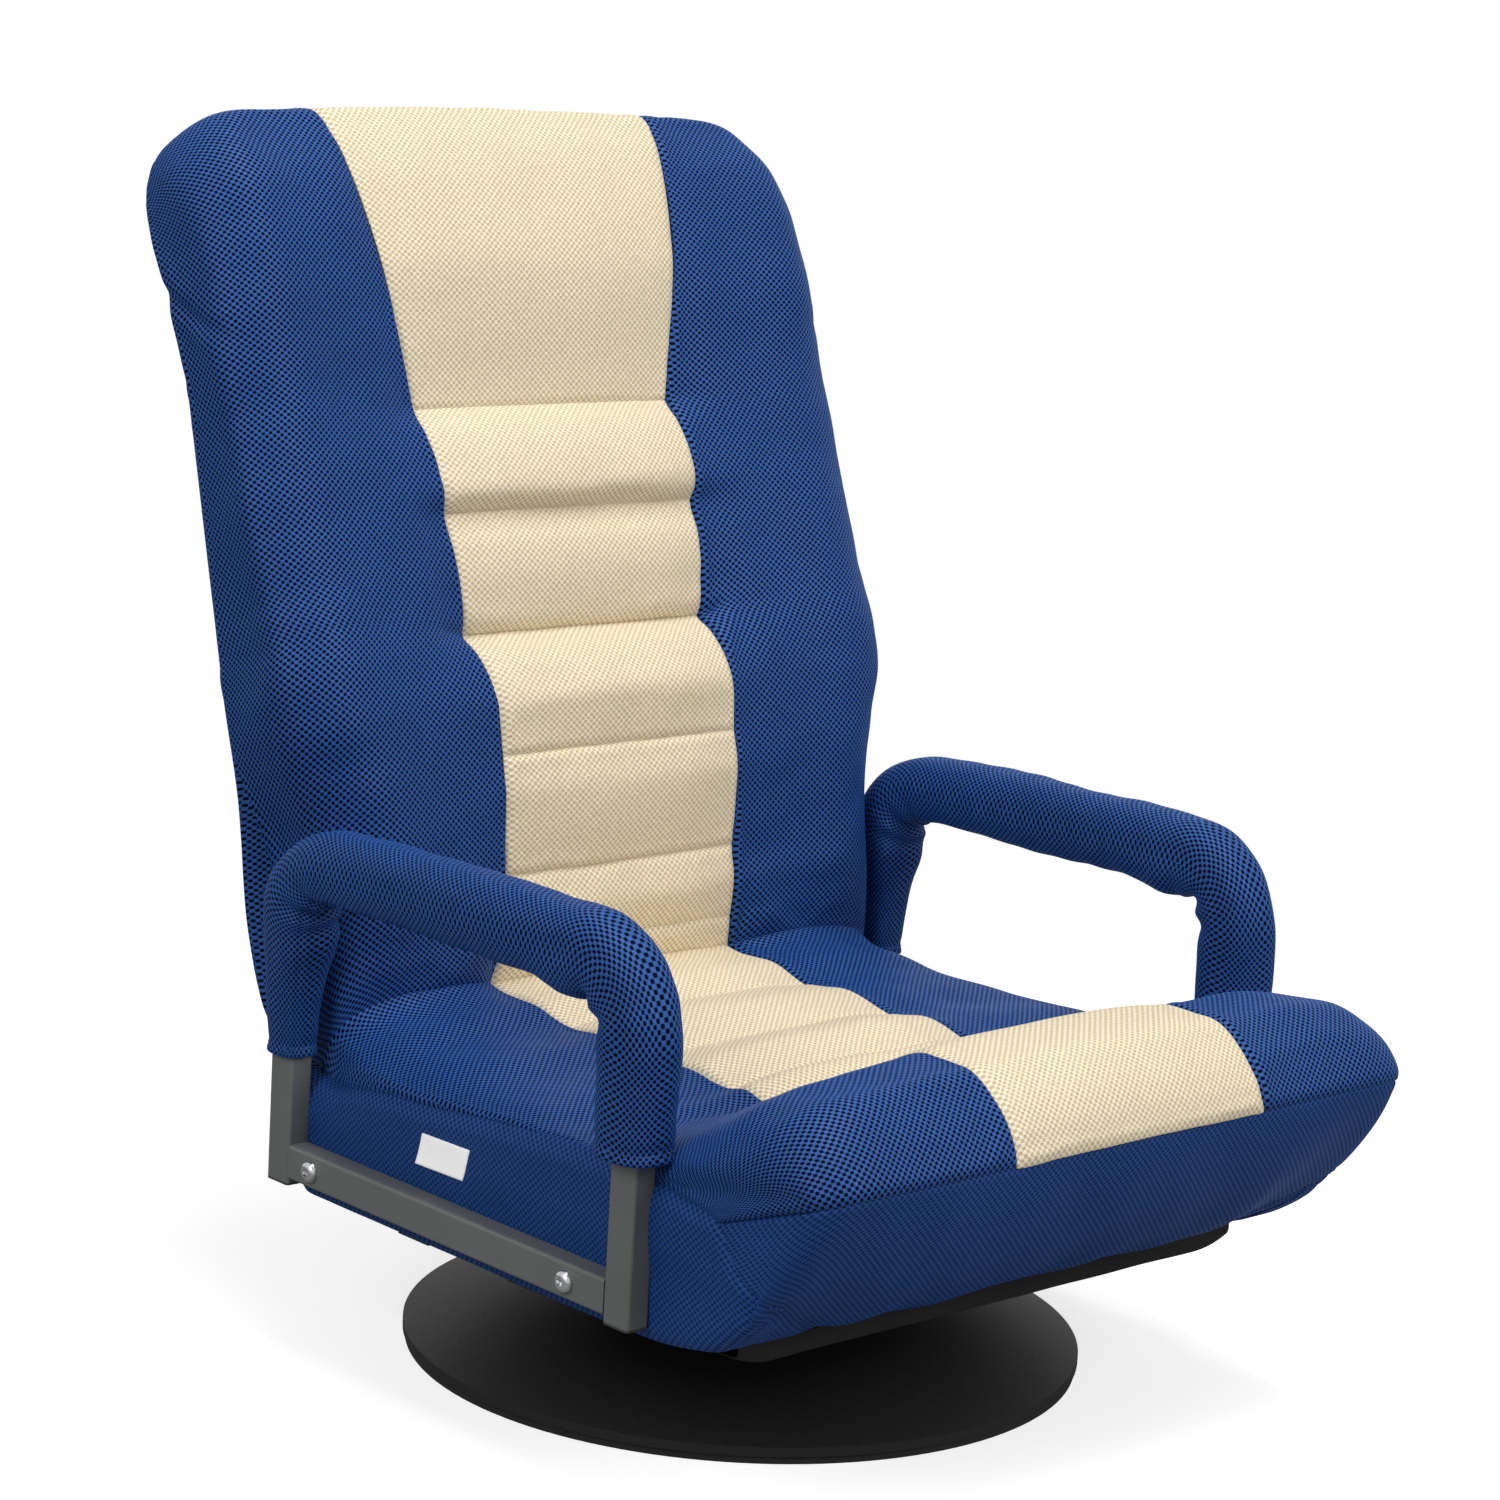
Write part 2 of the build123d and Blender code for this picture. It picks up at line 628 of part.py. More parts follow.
def side_band():
    """Left side cover: a padded wall over the foam's end, with a lip under the rail."""
    top = PAD_Z - SOFT_GAP
    foot = BAND_FOOT
    front = nose_curve(FRONT_BAND + 2 * SOFT_GAP)
    wall = outline(
        Polyline((BAND_REAR, foot), (BAND_REAR, REAR_BAND_TOP), (SEAT_REAR, PAD_Z - SIDE_BAND)),
        Polyline((SEAT_REAR, PAD_Z - SIDE_BAND), (SEAT_REAR, top), (RAIL_FRONT, top), front[0]),
        ThreePointArc(*front),
        Polyline(front[2], (front[2][0] + SIDE_BAND, foot), (BAND_REAR, foot)),
    )
    band = across(wall, SEAT_HALF - SIDE_BAND, SEAT_HALF)
    lip_front = front[2][0] + SIDE_BAND
    band += block((SEAT_HALF - BAND_LIP, lip_front, foot), (SEAT_HALF, BAND_REAR, foot + LIP_THICKNESS))
    for y in (-BOLT_OFFSET, BOLT_OFFSET):
        half = SWIVEL_BAR_WIDTH / 2 + SOFT_GAP
        band -= block((0, y - half, BAR_Z), (SWIVEL_BAR_HALF + SOFT_GAP, y + half, RAIL_Z))
    for y in ARM_BOLT_Y:
        band -= rod(BOLT_RADIUS + BOLT_FIT, RAIL_OUT, SEAT_HALF + 1, y, RAIL_MID)
    return band


def rear_band():
    """Cover across the seat's rear, below the back."""
    half = SEAT_HALF - SIDE_BAND - SOFT_GAP
    low = (-half, RAIL_REAR + SOFT_GAP, BAND_FOOT + LIP_THICKNESS + SOFT_GAP)
    return block(low, (half, BAND_REAR, REAR_BAND_TOP))


def dust_cover():
    """Thin black cloth panel under the seat, turned up at the front, open round the bearing."""
    top = BAR_Z - SOFT_GAP
    front = NOSE_FOOT[0] + SOFT_GAP
    panel = block((-DUST_HALF, front, top - DUST_THICKNESS), (DUST_HALF, BAND_REAR, top))
    border = block((-DUST_HALF, front, top), (DUST_HALF, front + DUST_THICKNESS, top + DUST_BORDER))
    hole = DUST_OPENING / 2
    return panel + border - block((-hole, -hole, top - DUST_THICKNESS), (hole, hole, top))


def blank_tag():
    """Small blank woven tag sewn to the right side cover."""
    middle = (ARM_RAIL_FOOT + ARM_WIDTH + PAD_Z) / 2 + TAG_RISE
    low = (-SEAT_HALF - TAG_THICKNESS, TAG_PLACE - TAG_SIZE[0] / 2, middle - TAG_SIZE[1] / 2)
    high = (-SEAT_HALF, TAG_PLACE + TAG_SIZE[0] / 2, middle + TAG_SIZE[1] / 2)
    return block(low, high)


# Arms


def arm_path(rear_foot, front_foot):
    """Centre line of an arm hoop in the left arm's plane."""
    points = [
        (ARM_X, REAR_UPRIGHT, rear_foot),
        (ARM_X, REAR_UPRIGHT, ARM_TOP),
        (ARM_X, FRONT_UPRIGHT, ARM_TOP),
        (ARM_X, FRONT_UPRIGHT, front_foot),
    ]
    return FilletPolyline(*points, radius=ARM_BEND)


def arm_sweep(section, rear_foot, front_foot):
    """Solid that carries a section, drawn as X by Y, round the arm hoop."""
    start = Plane(origin=(ARM_X, REAR_UPRIGHT, rear_foot), x_dir=(1, 0, 0), z_dir=(0, 0, 1))
    return sweep(start * section, path=arm_path(rear_foot, front_foot))


def tube_section(inset):
    """Section of the arm's tube with its rolled edges, drawn inwards by an inset."""
    return RectangleRounded(ARM_DEPTH - 2 * inset, ARM_WIDTH - 2 * inset, ARM_EDGE - inset)


def arm_hoop():
    """Left arm: a rectangular tube bent twice."""
    outer = arm_sweep(tube_section(0), ARM_FOOT, ARM_FOOT)
    inner = arm_sweep(tube_section(ARM_WALL), ARM_FOOT, ARM_FOOT)
    return outer - inner


def arm_rail():
    """Left arm's lower rail between its uprights, drilled for the bolts."""
    front = FRONT_UPRIGHT + ARM_WIDTH / 2
    length = REAR_UPRIGHT - ARM_WIDTH / 2 - front
    end = Plane(origin=(ARM_X, front, RAIL_MID), x_dir=(1, 0, 0), z_dir=(0, 1, 0))
    rail = extrude(end * tube_section(0), length) - extrude(end * tube_section(ARM_WALL), length)
    for y in ARM_BOLT_Y:
        rail -= rod(BOLT_RADIUS + BOLT_FIT, ARM_IN - 1, ARM_OUT + 1, y, RAIL_MID)
    return rail


def arm_plugs():
    """Plastic plugs in the open ends of both arms."""
    width = ARM_WIDTH - 2 * ARM_WALL - 2 * PLUG_FIT
    depth = ARM_DEPTH - 2 * ARM_WALL - 2 * PLUG_FIT
    plugs = []
    for y in (REAR_UPRIGHT, FRONT_UPRIGHT):
        foot = Pos(ARM_X, y, ARM_FOOT)
        stem = RectangleRounded(depth, width, ARM_EDGE - ARM_WALL)
        plug = extrude(foot * tube_section(0), -PLUG_CAP) + extrude(foot * stem, PLUG_DEPTH)
        plugs += [plug, other_side(plug)]
    return group(plugs)


def pad_section(inset):
    """Rounded section of the arm padding."""
    return RectangleRounded(PAD_WIDTH - 2 * inset, PAD_HEIGHT - 2 * inset, PAD_ROUND - inset)


def arm_foam():
    """Foam sleeve on the left arm."""
    outer = arm_sweep(pad_section(SLEEVE_THICKNESS + SOFT_GAP), PAD_REAR_END, PAD_FRONT_END)
    bore = Rectangle(ARM_DEPTH + SOFT_GAP, ARM_WIDTH + SOFT_GAP)
    return outer - arm_sweep(bore, PAD_REAR_END, PAD_FRONT_END)


def arm_sleeve():
    """Sewn cover of the left arm's foam."""
    rear = PAD_REAR_END - SLEEVE_HEM
    front = PAD_FRONT_END - SLEEVE_HEM
    return arm_sweep(pad_section(0), rear, front) - arm_sweep(pad_section(SLEEVE_THICKNESS), rear, front)


def arm_bolts():
    """Dome-headed socket screws that hold both arms to the seat rails."""
    bolts = []
    tip = RAIL_IN + TUBE_WALL + BOLT_TAIL / 2
    for y in ARM_BOLT_Y:
        bolt = rod(BOLT_RADIUS, tip, ARM_OUT, y, RAIL_MID)
        head = rod(BOLT_HEAD_RADIUS, ARM_OUT, ARM_OUT + BOLT_HEAD_HEIGHT, y, RAIL_MID)
        crown = head.edges().filter_by(GeomType.CIRCLE).sort_by(Axis.X)[-1]
        head = fillet(crown, BOLT_HEAD_HEIGHT * 0.8)
        socket = Pos(ARM_OUT + BOLT_HEAD_HEIGHT, y, RAIL_MID) * Rot(0, 90, 0)
        head -= socket * extrude(RegularPolygon(BOLT_RADIUS * 0.7, 6), -BOLT_HEAD_HEIGHT * 0.6)
        bolts += [bolt + head, other_side(bolt + head)]
    return group(bolts)


def arm_nuts():
    """Weld nuts inside the seat rails."""
    nuts = []
    low = RAIL_IN + TUBE_WALL
    for y in ARM_BOLT_Y:
        nut = Pos(low, y, RAIL_MID) * Rot(0, 90, 0) * extrude(RegularPolygon(BOLT_HEAD_RADIUS, 6), NUT_HEIGHT)
        nut -= rod(BOLT_RADIUS + THREAD_FIT, low, low + NUT_HEIGHT, y, RAIL_MID)
        nuts += [nut, other_side(nut)]
    return group(nuts)


# Recline hinge


def notch(play):
    """Wedge between two teeth, drawn along local x, thinned by the play."""
    root = RATCHET_RADIUS - NOTCH_DEPTH + play
    mouth = RATCHET_RADIUS + 1
    return polygon(
        (root, -NOTCH_ROOT / 2 + play),
        (mouth, -NOTCH_MOUTH / 2 + play),
        (mouth, NOTCH_MOUTH / 2 - play),
        (root, NOTCH_ROOT / 2 - play),
    )


def ratchet_plate():
    """Left hinge plate on the seat rail: a leg with a notched disc round the pivot."""
    foot = RAIL_Z + HINGE_PLATE
    leg = polygon(
        (LEG_FRONT, foot),
        (LEG_REAR, foot),
        (LEG_REAR, PIVOT_Z - RATCHET_RADIUS - NOTCH_DEPTH * 2),
        (PIVOT_Y - HINGE_PIN_RADIUS, PIVOT_Z - RATCHET_RADIUS * 0.9),
        (PIVOT_Y - RATCHET_RADIUS * 0.9, PIVOT_Z - HINGE_PIN_RADIUS),
        (LEG_FRONT, RAIL_TOP),
    )
    face = leg + Pos(PIVOT_Y, PIVOT_Z) * Circle(RATCHET_RADIUS)
    for i in range(NOTCH_COUNT):
        turn = 90 - (LEAN - FORWARD_TRAVEL + i * NOTCH_PITCH)
        face -= Pos(PIVOT_Y, PIVOT_Z) * Rot(0, 0, turn) * notch(0)
    face -= Pos(PIVOT_Y, PIVOT_Z) * Circle(HINGE_PIN_RADIUS + THREAD_FIT)
    return across(face, RAIL_IN - HINGE_PLATE, RAIL_IN)


def hinge_pin():
    """Left pivot rivet with a head on each side."""
    inner = BACK_PLATE_IN - AXIAL_PLAY
    pin = rod(HINGE_PIN_RADIUS, inner, RAIL_IN + AXIAL_PLAY, PIVOT_Y, PIVOT_Z)
    pin += rod(HINGE_HEAD_RADIUS, inner - HINGE_HEAD, inner, PIVOT_Y, PIVOT_Z)
    return pin + rod(HINGE_HEAD_RADIUS, RAIL_IN, RAIL_IN + HINGE_HEAD, PIVOT_Y, PIVOT_Z)


def back_plate():
    """Left hinge plate on the back tube, with the pawl's pin."""
    tube_low = BACK_TUBE_N - BACK_TUBE_RADIUS
    tube_high = BACK_TUBE_N + BACK_TUBE_RADIUS
    face = Circle(BACK_PLATE_DISC)
    face += polygon(
        (0, -BACK_PLATE_DISC),
        (BACK_TUBE_START, tube_low - 1),
        (BACK_PLATE_LENGTH, tube_low + BACK_TUBE_RADIUS / 2),
        (BACK_PLATE_LENGTH, tube_high - BACK_TUBE_RADIUS / 2),
        (BACK_TUBE_START, tube_high + 1),
        (0, BACK_PLATE_DISC),
    )
    face += Pos(*PAWL_PLACE) * Circle(PAWL_BOSS)
    face -= Circle(HINGE_PIN_RADIUS + RUNNING_FIT)
    plate = across(face, BACK_PLATE_IN, BACK_PLATE_OUT, BACK_FRAME)
    pin = across(Pos(*PAWL_PLACE) * Circle(PAWL_PIN_RADIUS), BACK_PLATE_OUT, RAIL_IN, BACK_FRAME)
    return plate + pin


def pawl():
    """Left pawl, drawn lifted clear of the ratchet as it is while the back is laid down."""
    tip = RATCHET_RADIUS - NOTCH_DEPTH + TIP_PLAY
    shape = polygon(
        (tip, -NOTCH_ROOT / 2 + TIP_PLAY),
        (tip, NOTCH_ROOT / 2 - TIP_PLAY),
        (RATCHET_RADIUS, NOTCH_MOUTH / 2 - 2 * TIP_PLAY),
        (PAWL_TOP, NOTCH_MOUTH / 2 + 1),
        (PAWL_PLACE[0] + PAWL_BOSS, PAWL_PLACE[1]),
        (PAWL_PLACE[0], PAWL_PLACE[1]),
        (RATCHET_RADIUS + 2 * TIP_PLAY, -NOTCH_MOUTH),
        (RATCHET_RADIUS, -NOTCH_MOUTH / 2 + 2 * TIP_PLAY),
    )
    shape += Pos(*PAWL_PLACE) * Circle(PAWL_BOSS)
    shape -= Pos(*PAWL_PLACE) * Circle(PAWL_PIN_RADIUS + RUNNING_FIT)
    low = BACK_PLATE_OUT + PAWL_SIDE_GAP
    high = RAIL_IN - PAWL_SIDE_GAP
    lifted = Pos(*PAWL_PLACE) * Rot(0, 0, -PAWL_LIFT) * Pos(-PAWL_PLACE[0], -PAWL_PLACE[1]) * shape
    return across(lifted, low, high, BACK_FRAME)


def pawl_spring():
    """Left leaf spring that presses the pawl towards the ratchet."""
    t = SPRING_THICKNESS
    shape = polygon(
        SPRING_TIP,
        SPRING_BEND,
        SPRING_ROOT,
        (SPRING_ROOT[0] + t, SPRING_ROOT[1]),
        (SPRING_BEND[0] + t, SPRING_BEND[1]),
        (SPRING_TIP[0] + t, SPRING_TIP[1]),
    )
    return across(shape, BACK_PLATE_OUT, BACK_PLATE_OUT + HINGE_PLATE, BACK_FRAME)


# Back frame and cushion


def back_hoop_solid(radius, extra=0.0):
    """Solid bar along the back frame's bent path."""
    points = [
        (BACK_TUBE_START - extra, BACK_TUBE_N, -BACK_TUBE_X),
        (BACK_TUBE_TOP, BACK_TUBE_N, -BACK_TUBE_X),
        (BACK_TUBE_TOP, BACK_TUBE_N, BACK_TUBE_X),
        (BACK_TUBE_START - extra, BACK_TUBE_N, BACK_TUBE_X),
    ]
    path = FilletPolyline(*points, radius=BACK_BEND)
    start = Plane(origin=points[0], x_dir=(0, 1, 0), z_dir=(1, 0, 0))
    return sweep(start * Circle(radius), path=path)


def back_hoop():
    """Bent steel tube round the back."""
    inside = back_hoop_solid(BACK_TUBE_RADIUS - BACK_TUBE_WALL)
    return BACK_FRAME * (back_hoop_solid(BACK_TUBE_RADIUS) - inside)


def back_crossbars():
    """Two cross tubes coped to the bent tube."""
    hoop = BACK_FRAME * back_hoop_solid(BACK_TUBE_RADIUS)
    bars = []
    for place in CROSSBAR_PLACES:
        circle = Pos(place, BACK_TUBE_N) * Circle(CROSSBAR_RADIUS)
        bars.append(across(circle, -BACK_TUBE_X, BACK_TUBE_X, BACK_FRAME) - hoop)
    return group(bars)


def back_webbing():
    """Elastic straps over the front of the back frame."""
    straps = []
    for i in range(WEB_COUNT):
        s = BACK_WEB_FIRST + i * BACK_WEB_PITCH
        face = polygon(
            (s, -BACK_WEB_THICKNESS),
            (s + WEB_WIDTH, -BACK_WEB_THICKNESS),
            (s + WEB_WIDTH, 0),
            (s, 0),
        )
        straps.append(across(face, -BACK_PLATE_IN, BACK_PLATE_IN, BACK_FRAME))
    return group(straps)


def back_foam():
    """Foam sheet in front of the straps."""
    face = polygon(
        (BACK_FOAM_START, SOFT_GAP),
        (BACK_FOAM_END, SOFT_GAP),
        (BACK_FOAM_END, SOFT_GAP + BACK_FOAM),
        (BACK_FOAM_START, SOFT_GAP + BACK_FOAM),
    )
    return across(face, -CAVITY_HALF + SOFT_GAP, CAVITY_HALF - SOFT_GAP, BACK_FRAME)


def back_cavity():
    """Space inside the cushion that holds the frame and foam."""
    face = polygon(
        (0, REAR_FACE - 1),
        (CAVITY_END, REAR_FACE - 1),
        (CAVITY_END, BACK_PAD_N),
        (0, BACK_PAD_N),
    )
    return across(face, -CAVITY_HALF, CAVITY_HALF, BACK_FRAME)


def stripe_prism(play):
    """Everything inside the pale stripe's edges, widened by the play."""
    neck = BACK_SEAMS[-1][0]
    waist = STRIPE_WAIST_HALF + play
    middle = STRIPE_NECK_HALF + play
    top = STRIPE_TOP_HALF + play
    lower = BACK_SEAMS[3][0]
    ring = [(0, -waist), (lower, -waist), (neck, -middle), (BACK_TOP + 40, -top - 6)]
    ring += [(s, -x) for s, x in reversed(ring)]
    plane = Plane(origin=BACK_FRAME.origin, x_dir=BACK_FRAME.x_dir, z_dir=-BACK_FRAME.y_dir)
    return extrude(plane.offset(-BACK_WIDTH) * polygon(*ring), 2 * BACK_WIDTH)


def front_section(fall):
    """Side profile of the cushion's front and top, set back by the fall."""
    def at(point):
        return (point[0], point[1] - fall)

    base = (BACK_START, REAR_FACE + SOFT_GAP)
    low = at((BACK_START, LUMBAR_START[1] - (LUMBAR_START[0] - BACK_START) / 2))
    crown = (BACK_TOP - fall / 4, REAR_FACE / 3)
    heel = (BACK_TOP - fall / 4, REAR_FACE + SOFT_GAP)
    return outline(
        Line(base, low),
        Line(low, at(LUMBAR_START)),
        ThreePointArc(at(LUMBAR_START), at(LUMBAR_CREST), at(LUMBAR_END)),
        Line(at(LUMBAR_END), at(NECK)),
        ThreePointArc(at(NECK), at(HEAD_CREST), at(HEAD_SHOULDER)),
        ThreePointArc(at(HEAD_SHOULDER), (HEAD_ROUND[0] - fall / 4, HEAD_ROUND[1] - fall / 2), crown),
        Polyline(crown, heel, base),
    )


def waist_cut():
    """Side room that the arm pads need beside the lower back."""
    half = WAIST_WIDTH / 2
    outer = BACK_WIDTH
    ring = [
        (-20, half),
        (WAIST_LENGTH, half),
        (WAIST_LENGTH + WAIST_FLARE, outer / 2 + 1),
        (WAIST_LENGTH + WAIST_FLARE, outer),
        (-20, outer),
    ]
    plane = Plane(origin=BACK_FRAME.origin, x_dir=BACK_FRAME.x_dir, z_dir=-BACK_FRAME.y_dir)
    return extrude(plane.offset(-BACK_WIDTH) * polygon(*ring), 2 * BACK_WIDTH)


def corner_cut():
    """Room outside the rounded top corner of the back."""
    side = BACK_WIDTH / 2
    start = (BACK_TOP, side - BACK_CORNER)
    end = (BACK_TOP - BACK_CORNER, side)
    reach = BACK_CORNER * (1 - cos(radians(45)))
    wide = side + BACK_CORNER
    high = BACK_TOP + BACK_CORNER
    face = outline(
        ThreePointArc(start, (BACK_TOP - reach, side - reach), end),
        Polyline(end, (end[0], wide), (high, wide), (high, start[1]), start),
    )
    plane = Plane(origin=BACK_FRAME.origin, x_dir=BACK_FRAME.x_dir, z_dir=-BACK_FRAME.y_dir)
    return extrude(plane.offset(-BACK_WIDTH) * face, 2 * BACK_WIDTH)


def back_bolster():
    """Left blue bolster of the back, which also wraps its side and top."""
    inner = STRIPE_WAIST_HALF - STRIPE_SEAT_HALF / 2
    outer = BACK_WIDTH / 2
    form = skin(
        [
            (inner, front_section(0)),
            ((inner + outer) / 2, front_section(0)),
            (outer, front_section(EDGE_FALL)),
        ],
        BACK_FRAME,
    )
    return form - waist_cut() - corner_cut() - back_cavity() - stripe_prism(SOFT_GAP)


def back_channels():
    """Pale quilted channels of the back's middle."""
    pads = []
    stripe = stripe_prism(0)
    for low, high in zip(BACK_SEAMS, BACK_SEAMS[1:]):
        start = (low[0] + SOFT_GAP / 2, low[1])
        end = (high[0] - SOFT_GAP / 2, high[1])
        crown = min(BACK_PAD_CROWN, (high[0] - low[0]) / 4)
        middle = channel_section(start, end, crown, BACK_PAD_N)
        side = channel_section(start, end, crown / 2, BACK_PAD_N)
        half = STRIPE_NECK_HALF + 1
        pads.append(skin([(-half, side), (0, middle), (half, side)], BACK_FRAME) & stripe)
    return group(pads)


def headrest_pad():
    """Pale flared headrest panel, which turns over the top of the back."""
    start = BACK_SEAMS[-1]
    begin = (start[0] + SOFT_GAP / 2, start[1])
    base = (begin[0], REAR_FACE + SOFT_GAP)
    crown = (BACK_TOP, REAR_FACE / 3)
    heel = (BACK_TOP, REAR_FACE + SOFT_GAP)
    face = outline(
        Line(base, begin),
        ThreePointArc(begin, HEAD_CREST, HEAD_SHOULDER),
        ThreePointArc(HEAD_SHOULDER, HEAD_ROUND, crown),
        Polyline(crown, heel, base),
    )
    half = STRIPE_TOP_HALF + BACK_PAD_CROWN
    return across(face, -half, half, BACK_FRAME) & stripe_prism(0) - back_cavity()


def rear_section(depth):
    """Side profile of the rear cover with its headrest and lower rolls."""
    rear = REAR_FACE - REAR_PANEL * depth
    head_mid = ((HEAD_ROLL_START + BACK_TOP) / 2, rear - HEAD_ROLL_DEPTH * depth)
    low_mid = ((REAR_PANEL_START + LOWER_ROLL_END) / 2, rear - LOWER_ROLL_DEPTH * depth)
    low = (REAR_PANEL_START, REAR_FACE - REAR_PANEL * depth / 2)
    top = (BACK_TOP, REAR_FACE - REAR_PANEL * depth / 2)
    return outline(
        Line((REAR_PANEL_START, REAR_FACE), low),
        ThreePointArc(low, low_mid, (LOWER_ROLL_END, rear)),
        Line((LOWER_ROLL_END, rear), (HEAD_ROLL_START, rear)),
        ThreePointArc((HEAD_ROLL_START, rear), head_mid, top),
        Polyline(top, (BACK_TOP, REAR_FACE), (REAR_PANEL_START, REAR_FACE)),
    )


def rear_cover():
    """Rear cover of the back, fullest in the middle and drawn in at its sides."""
    half = BACK_WIDTH / 2
    edge = rear_section(0.5)
    full = rear_section(1.0)
    cover = skin([(-half, edge), (0, full), (half, edge)], BACK_FRAME)
    for room in (waist_cut(), corner_cut()):
        cover = cover - room - other_side(room)
    return cover


def save(name, solid):
    """Write one piece."""
    export_step(solid, f"parts/{name}.step")


def save_pair(name, solid):
    """Write a left piece and its mirror image."""
    save(f"{name}_left", solid)
    save(f"{name}_right", other_side(solid))


def save_both(name, solid):
    """Write a left solid and its mirror image as one piece."""
    save(name, group([solid, other_side(solid)]))


os.makedirs("parts", exist_ok=True)

save("base_pan", base_pan())
save("base_foot_ring", foot_ring())
save("base_backing_plate", backing_plate())
lower_land = BALL_Z - LAND_GAP
save("swivel_lower_plate", race_plate(BASE_HEIGHT, BASE_HEIGHT + PLATE_THICKNESS, lower_land, BOLT_FIT))
save("swivel_upper_plate", race_plate(UPPER_PLATE_Z, BALL_Z + LAND_GAP, UPPER_PLATE_Z, RUNNING_FIT))
save("swivel_balls", bearing_balls())
save("swivel_ball_cage", ball_cage())
save("swivel_pivot_bolt", pivot_bolt())
save("swivel_pivot_nut", pivot_nut())
save("swivel_pivot_bush", pivot_bush())
save("base_bolts", base_bolts())
save("base_nuts", base_nuts())

save("seat_swivel_bars", swivel_bars())
save("seat_swivel_bolts", swivel_bolts())
save("seat_swivel_nuts", swivel_nuts())
save_pair("seat_rail", seat_rail())
save("seat_front_bar", cross_bar(RAIL_FRONT + SEAT_TUBE))
save("seat_rear_bar", cross_bar(REAR_BAR_REAR))
save("seat_webbing", seat_webbing())
save("seat_foam", seat_foam())
save("seat_nose_foam", nose_foam())
save("seat_channel_pads", seat_channels())
save("seat_front_roll", front_roll())
save_pair("seat_bolster", seat_bolster())
save("seat_front_band", front_band())
save_pair("seat_side_band", side_band())
save("seat_rear_band", rear_band())
save("seat_dust_cover", dust_cover())
save("seat_blank_tag", blank_tag())

save_pair("arm_hoop", arm_hoop())
save_pair("arm_rail", arm_rail())
save_pair("arm_foam", arm_foam())
save_pair("arm_sleeve", arm_sleeve())
save("arm_plugs", arm_plugs())
save("arm_bolts", arm_bolts())
save("arm_nuts", arm_nuts())

save_both("hinge_ratchet_plates", ratchet_plate())
save_both("hinge_pins", hinge_pin())
save_both("hinge_back_plates", back_plate())
save_pair("hinge_pawl", pawl())
save_both("hinge_pawl_springs", pawl_spring())

save("back_hoop", back_hoop())
save("back_crossbars", back_crossbars())
save("back_webbing", back_webbing())
save("back_foam", back_foam())
save("back_channel_pads", back_channels())
save("back_headrest_pad", headrest_pad())
save_pair("back_bolster", back_bolster())
save("back_rear_cover", rear_cover())
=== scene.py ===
"""Looks of a floor gaming chair: sewn mesh upholstery, steel arms and a swivel base, built round the CAD frame."""

import json
import math

import bpy
import numpy as np
from mathutils import Matrix, Vector


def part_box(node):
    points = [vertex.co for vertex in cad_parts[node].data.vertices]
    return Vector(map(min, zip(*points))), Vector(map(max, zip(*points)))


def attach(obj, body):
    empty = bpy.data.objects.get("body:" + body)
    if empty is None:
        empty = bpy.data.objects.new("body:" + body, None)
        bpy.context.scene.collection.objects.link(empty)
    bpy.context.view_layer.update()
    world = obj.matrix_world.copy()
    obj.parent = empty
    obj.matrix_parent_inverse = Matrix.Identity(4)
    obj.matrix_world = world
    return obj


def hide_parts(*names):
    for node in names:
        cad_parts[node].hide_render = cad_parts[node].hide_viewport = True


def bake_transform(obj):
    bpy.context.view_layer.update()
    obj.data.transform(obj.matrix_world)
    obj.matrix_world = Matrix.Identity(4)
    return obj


bl_info = {
    "name": "Floor Gaming Chair",
    "version": (1, 0, 0),
    "blender": (4, 5, 0),
    "location": "View3D > Sidebar > Chair",
    "description": "Upholstery, hardware finishes and studio for a reclining floor chair",
    "category": "Object",
}

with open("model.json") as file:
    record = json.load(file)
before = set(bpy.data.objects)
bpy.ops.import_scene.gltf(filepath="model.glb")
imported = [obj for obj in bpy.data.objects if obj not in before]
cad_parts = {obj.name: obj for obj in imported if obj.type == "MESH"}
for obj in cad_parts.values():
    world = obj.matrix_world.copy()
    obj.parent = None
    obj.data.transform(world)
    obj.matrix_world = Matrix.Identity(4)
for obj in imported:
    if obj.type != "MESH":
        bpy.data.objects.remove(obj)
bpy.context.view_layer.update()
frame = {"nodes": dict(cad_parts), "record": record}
NODES = frame["nodes"]

MM = 0.001  # sizes below are in mm, Blender's in metres
HINGE = np.array([160.0, 185.0])  # recline pivot, as (y, z)
LEAN = math.radians(15.0)  # back from vertical in the photograph
SIDES = ((1, "left"), (-1, "right"))
SEAT_HALF = 249.0
SEAT_MIDDLE = np.array([0, -150.0, 190.0])  # a place inside the seat, to tell in from out
CLOTH = 2.5  # thickness of the sewn cloth
CREAM_STUFFING = 2.5  # how far the simulation may fill a cream panel
WING_STUFFING = 5.0  # and a wing
ARM_X = 257.45
ARM_REAR = 152.0
ARM_FRONT = -176.0
ARM_TOP = 325.0
ARM_BEND = 46.0
SLEEVE_ENDS = (195.0, 213.0)  # heights of the sleeve's rear and front hems
SLEEVE_HALF = (21.5, 24.5)  # half width and half depth of the sleeve
SLEEVE_GIRTH = 150.0
SWIVEL_OPENING = 150.0  # side of the lining's square opening
LABEL_LIFT = 2.4  # how far the label stands off the side panel
STUFFING_FRAMES = 20
STRIPE_POINTS = 43  # points across a cream panel
WING_POINTS = (238, 52)  # points along and across the other panels
BAND_POINTS = (221, 44)
PANEL_POINTS = (92, 34)
REAR_POINTS = (146, 81)
SLEEVE_STEP = 3.2  # between the sleeve's rings of points
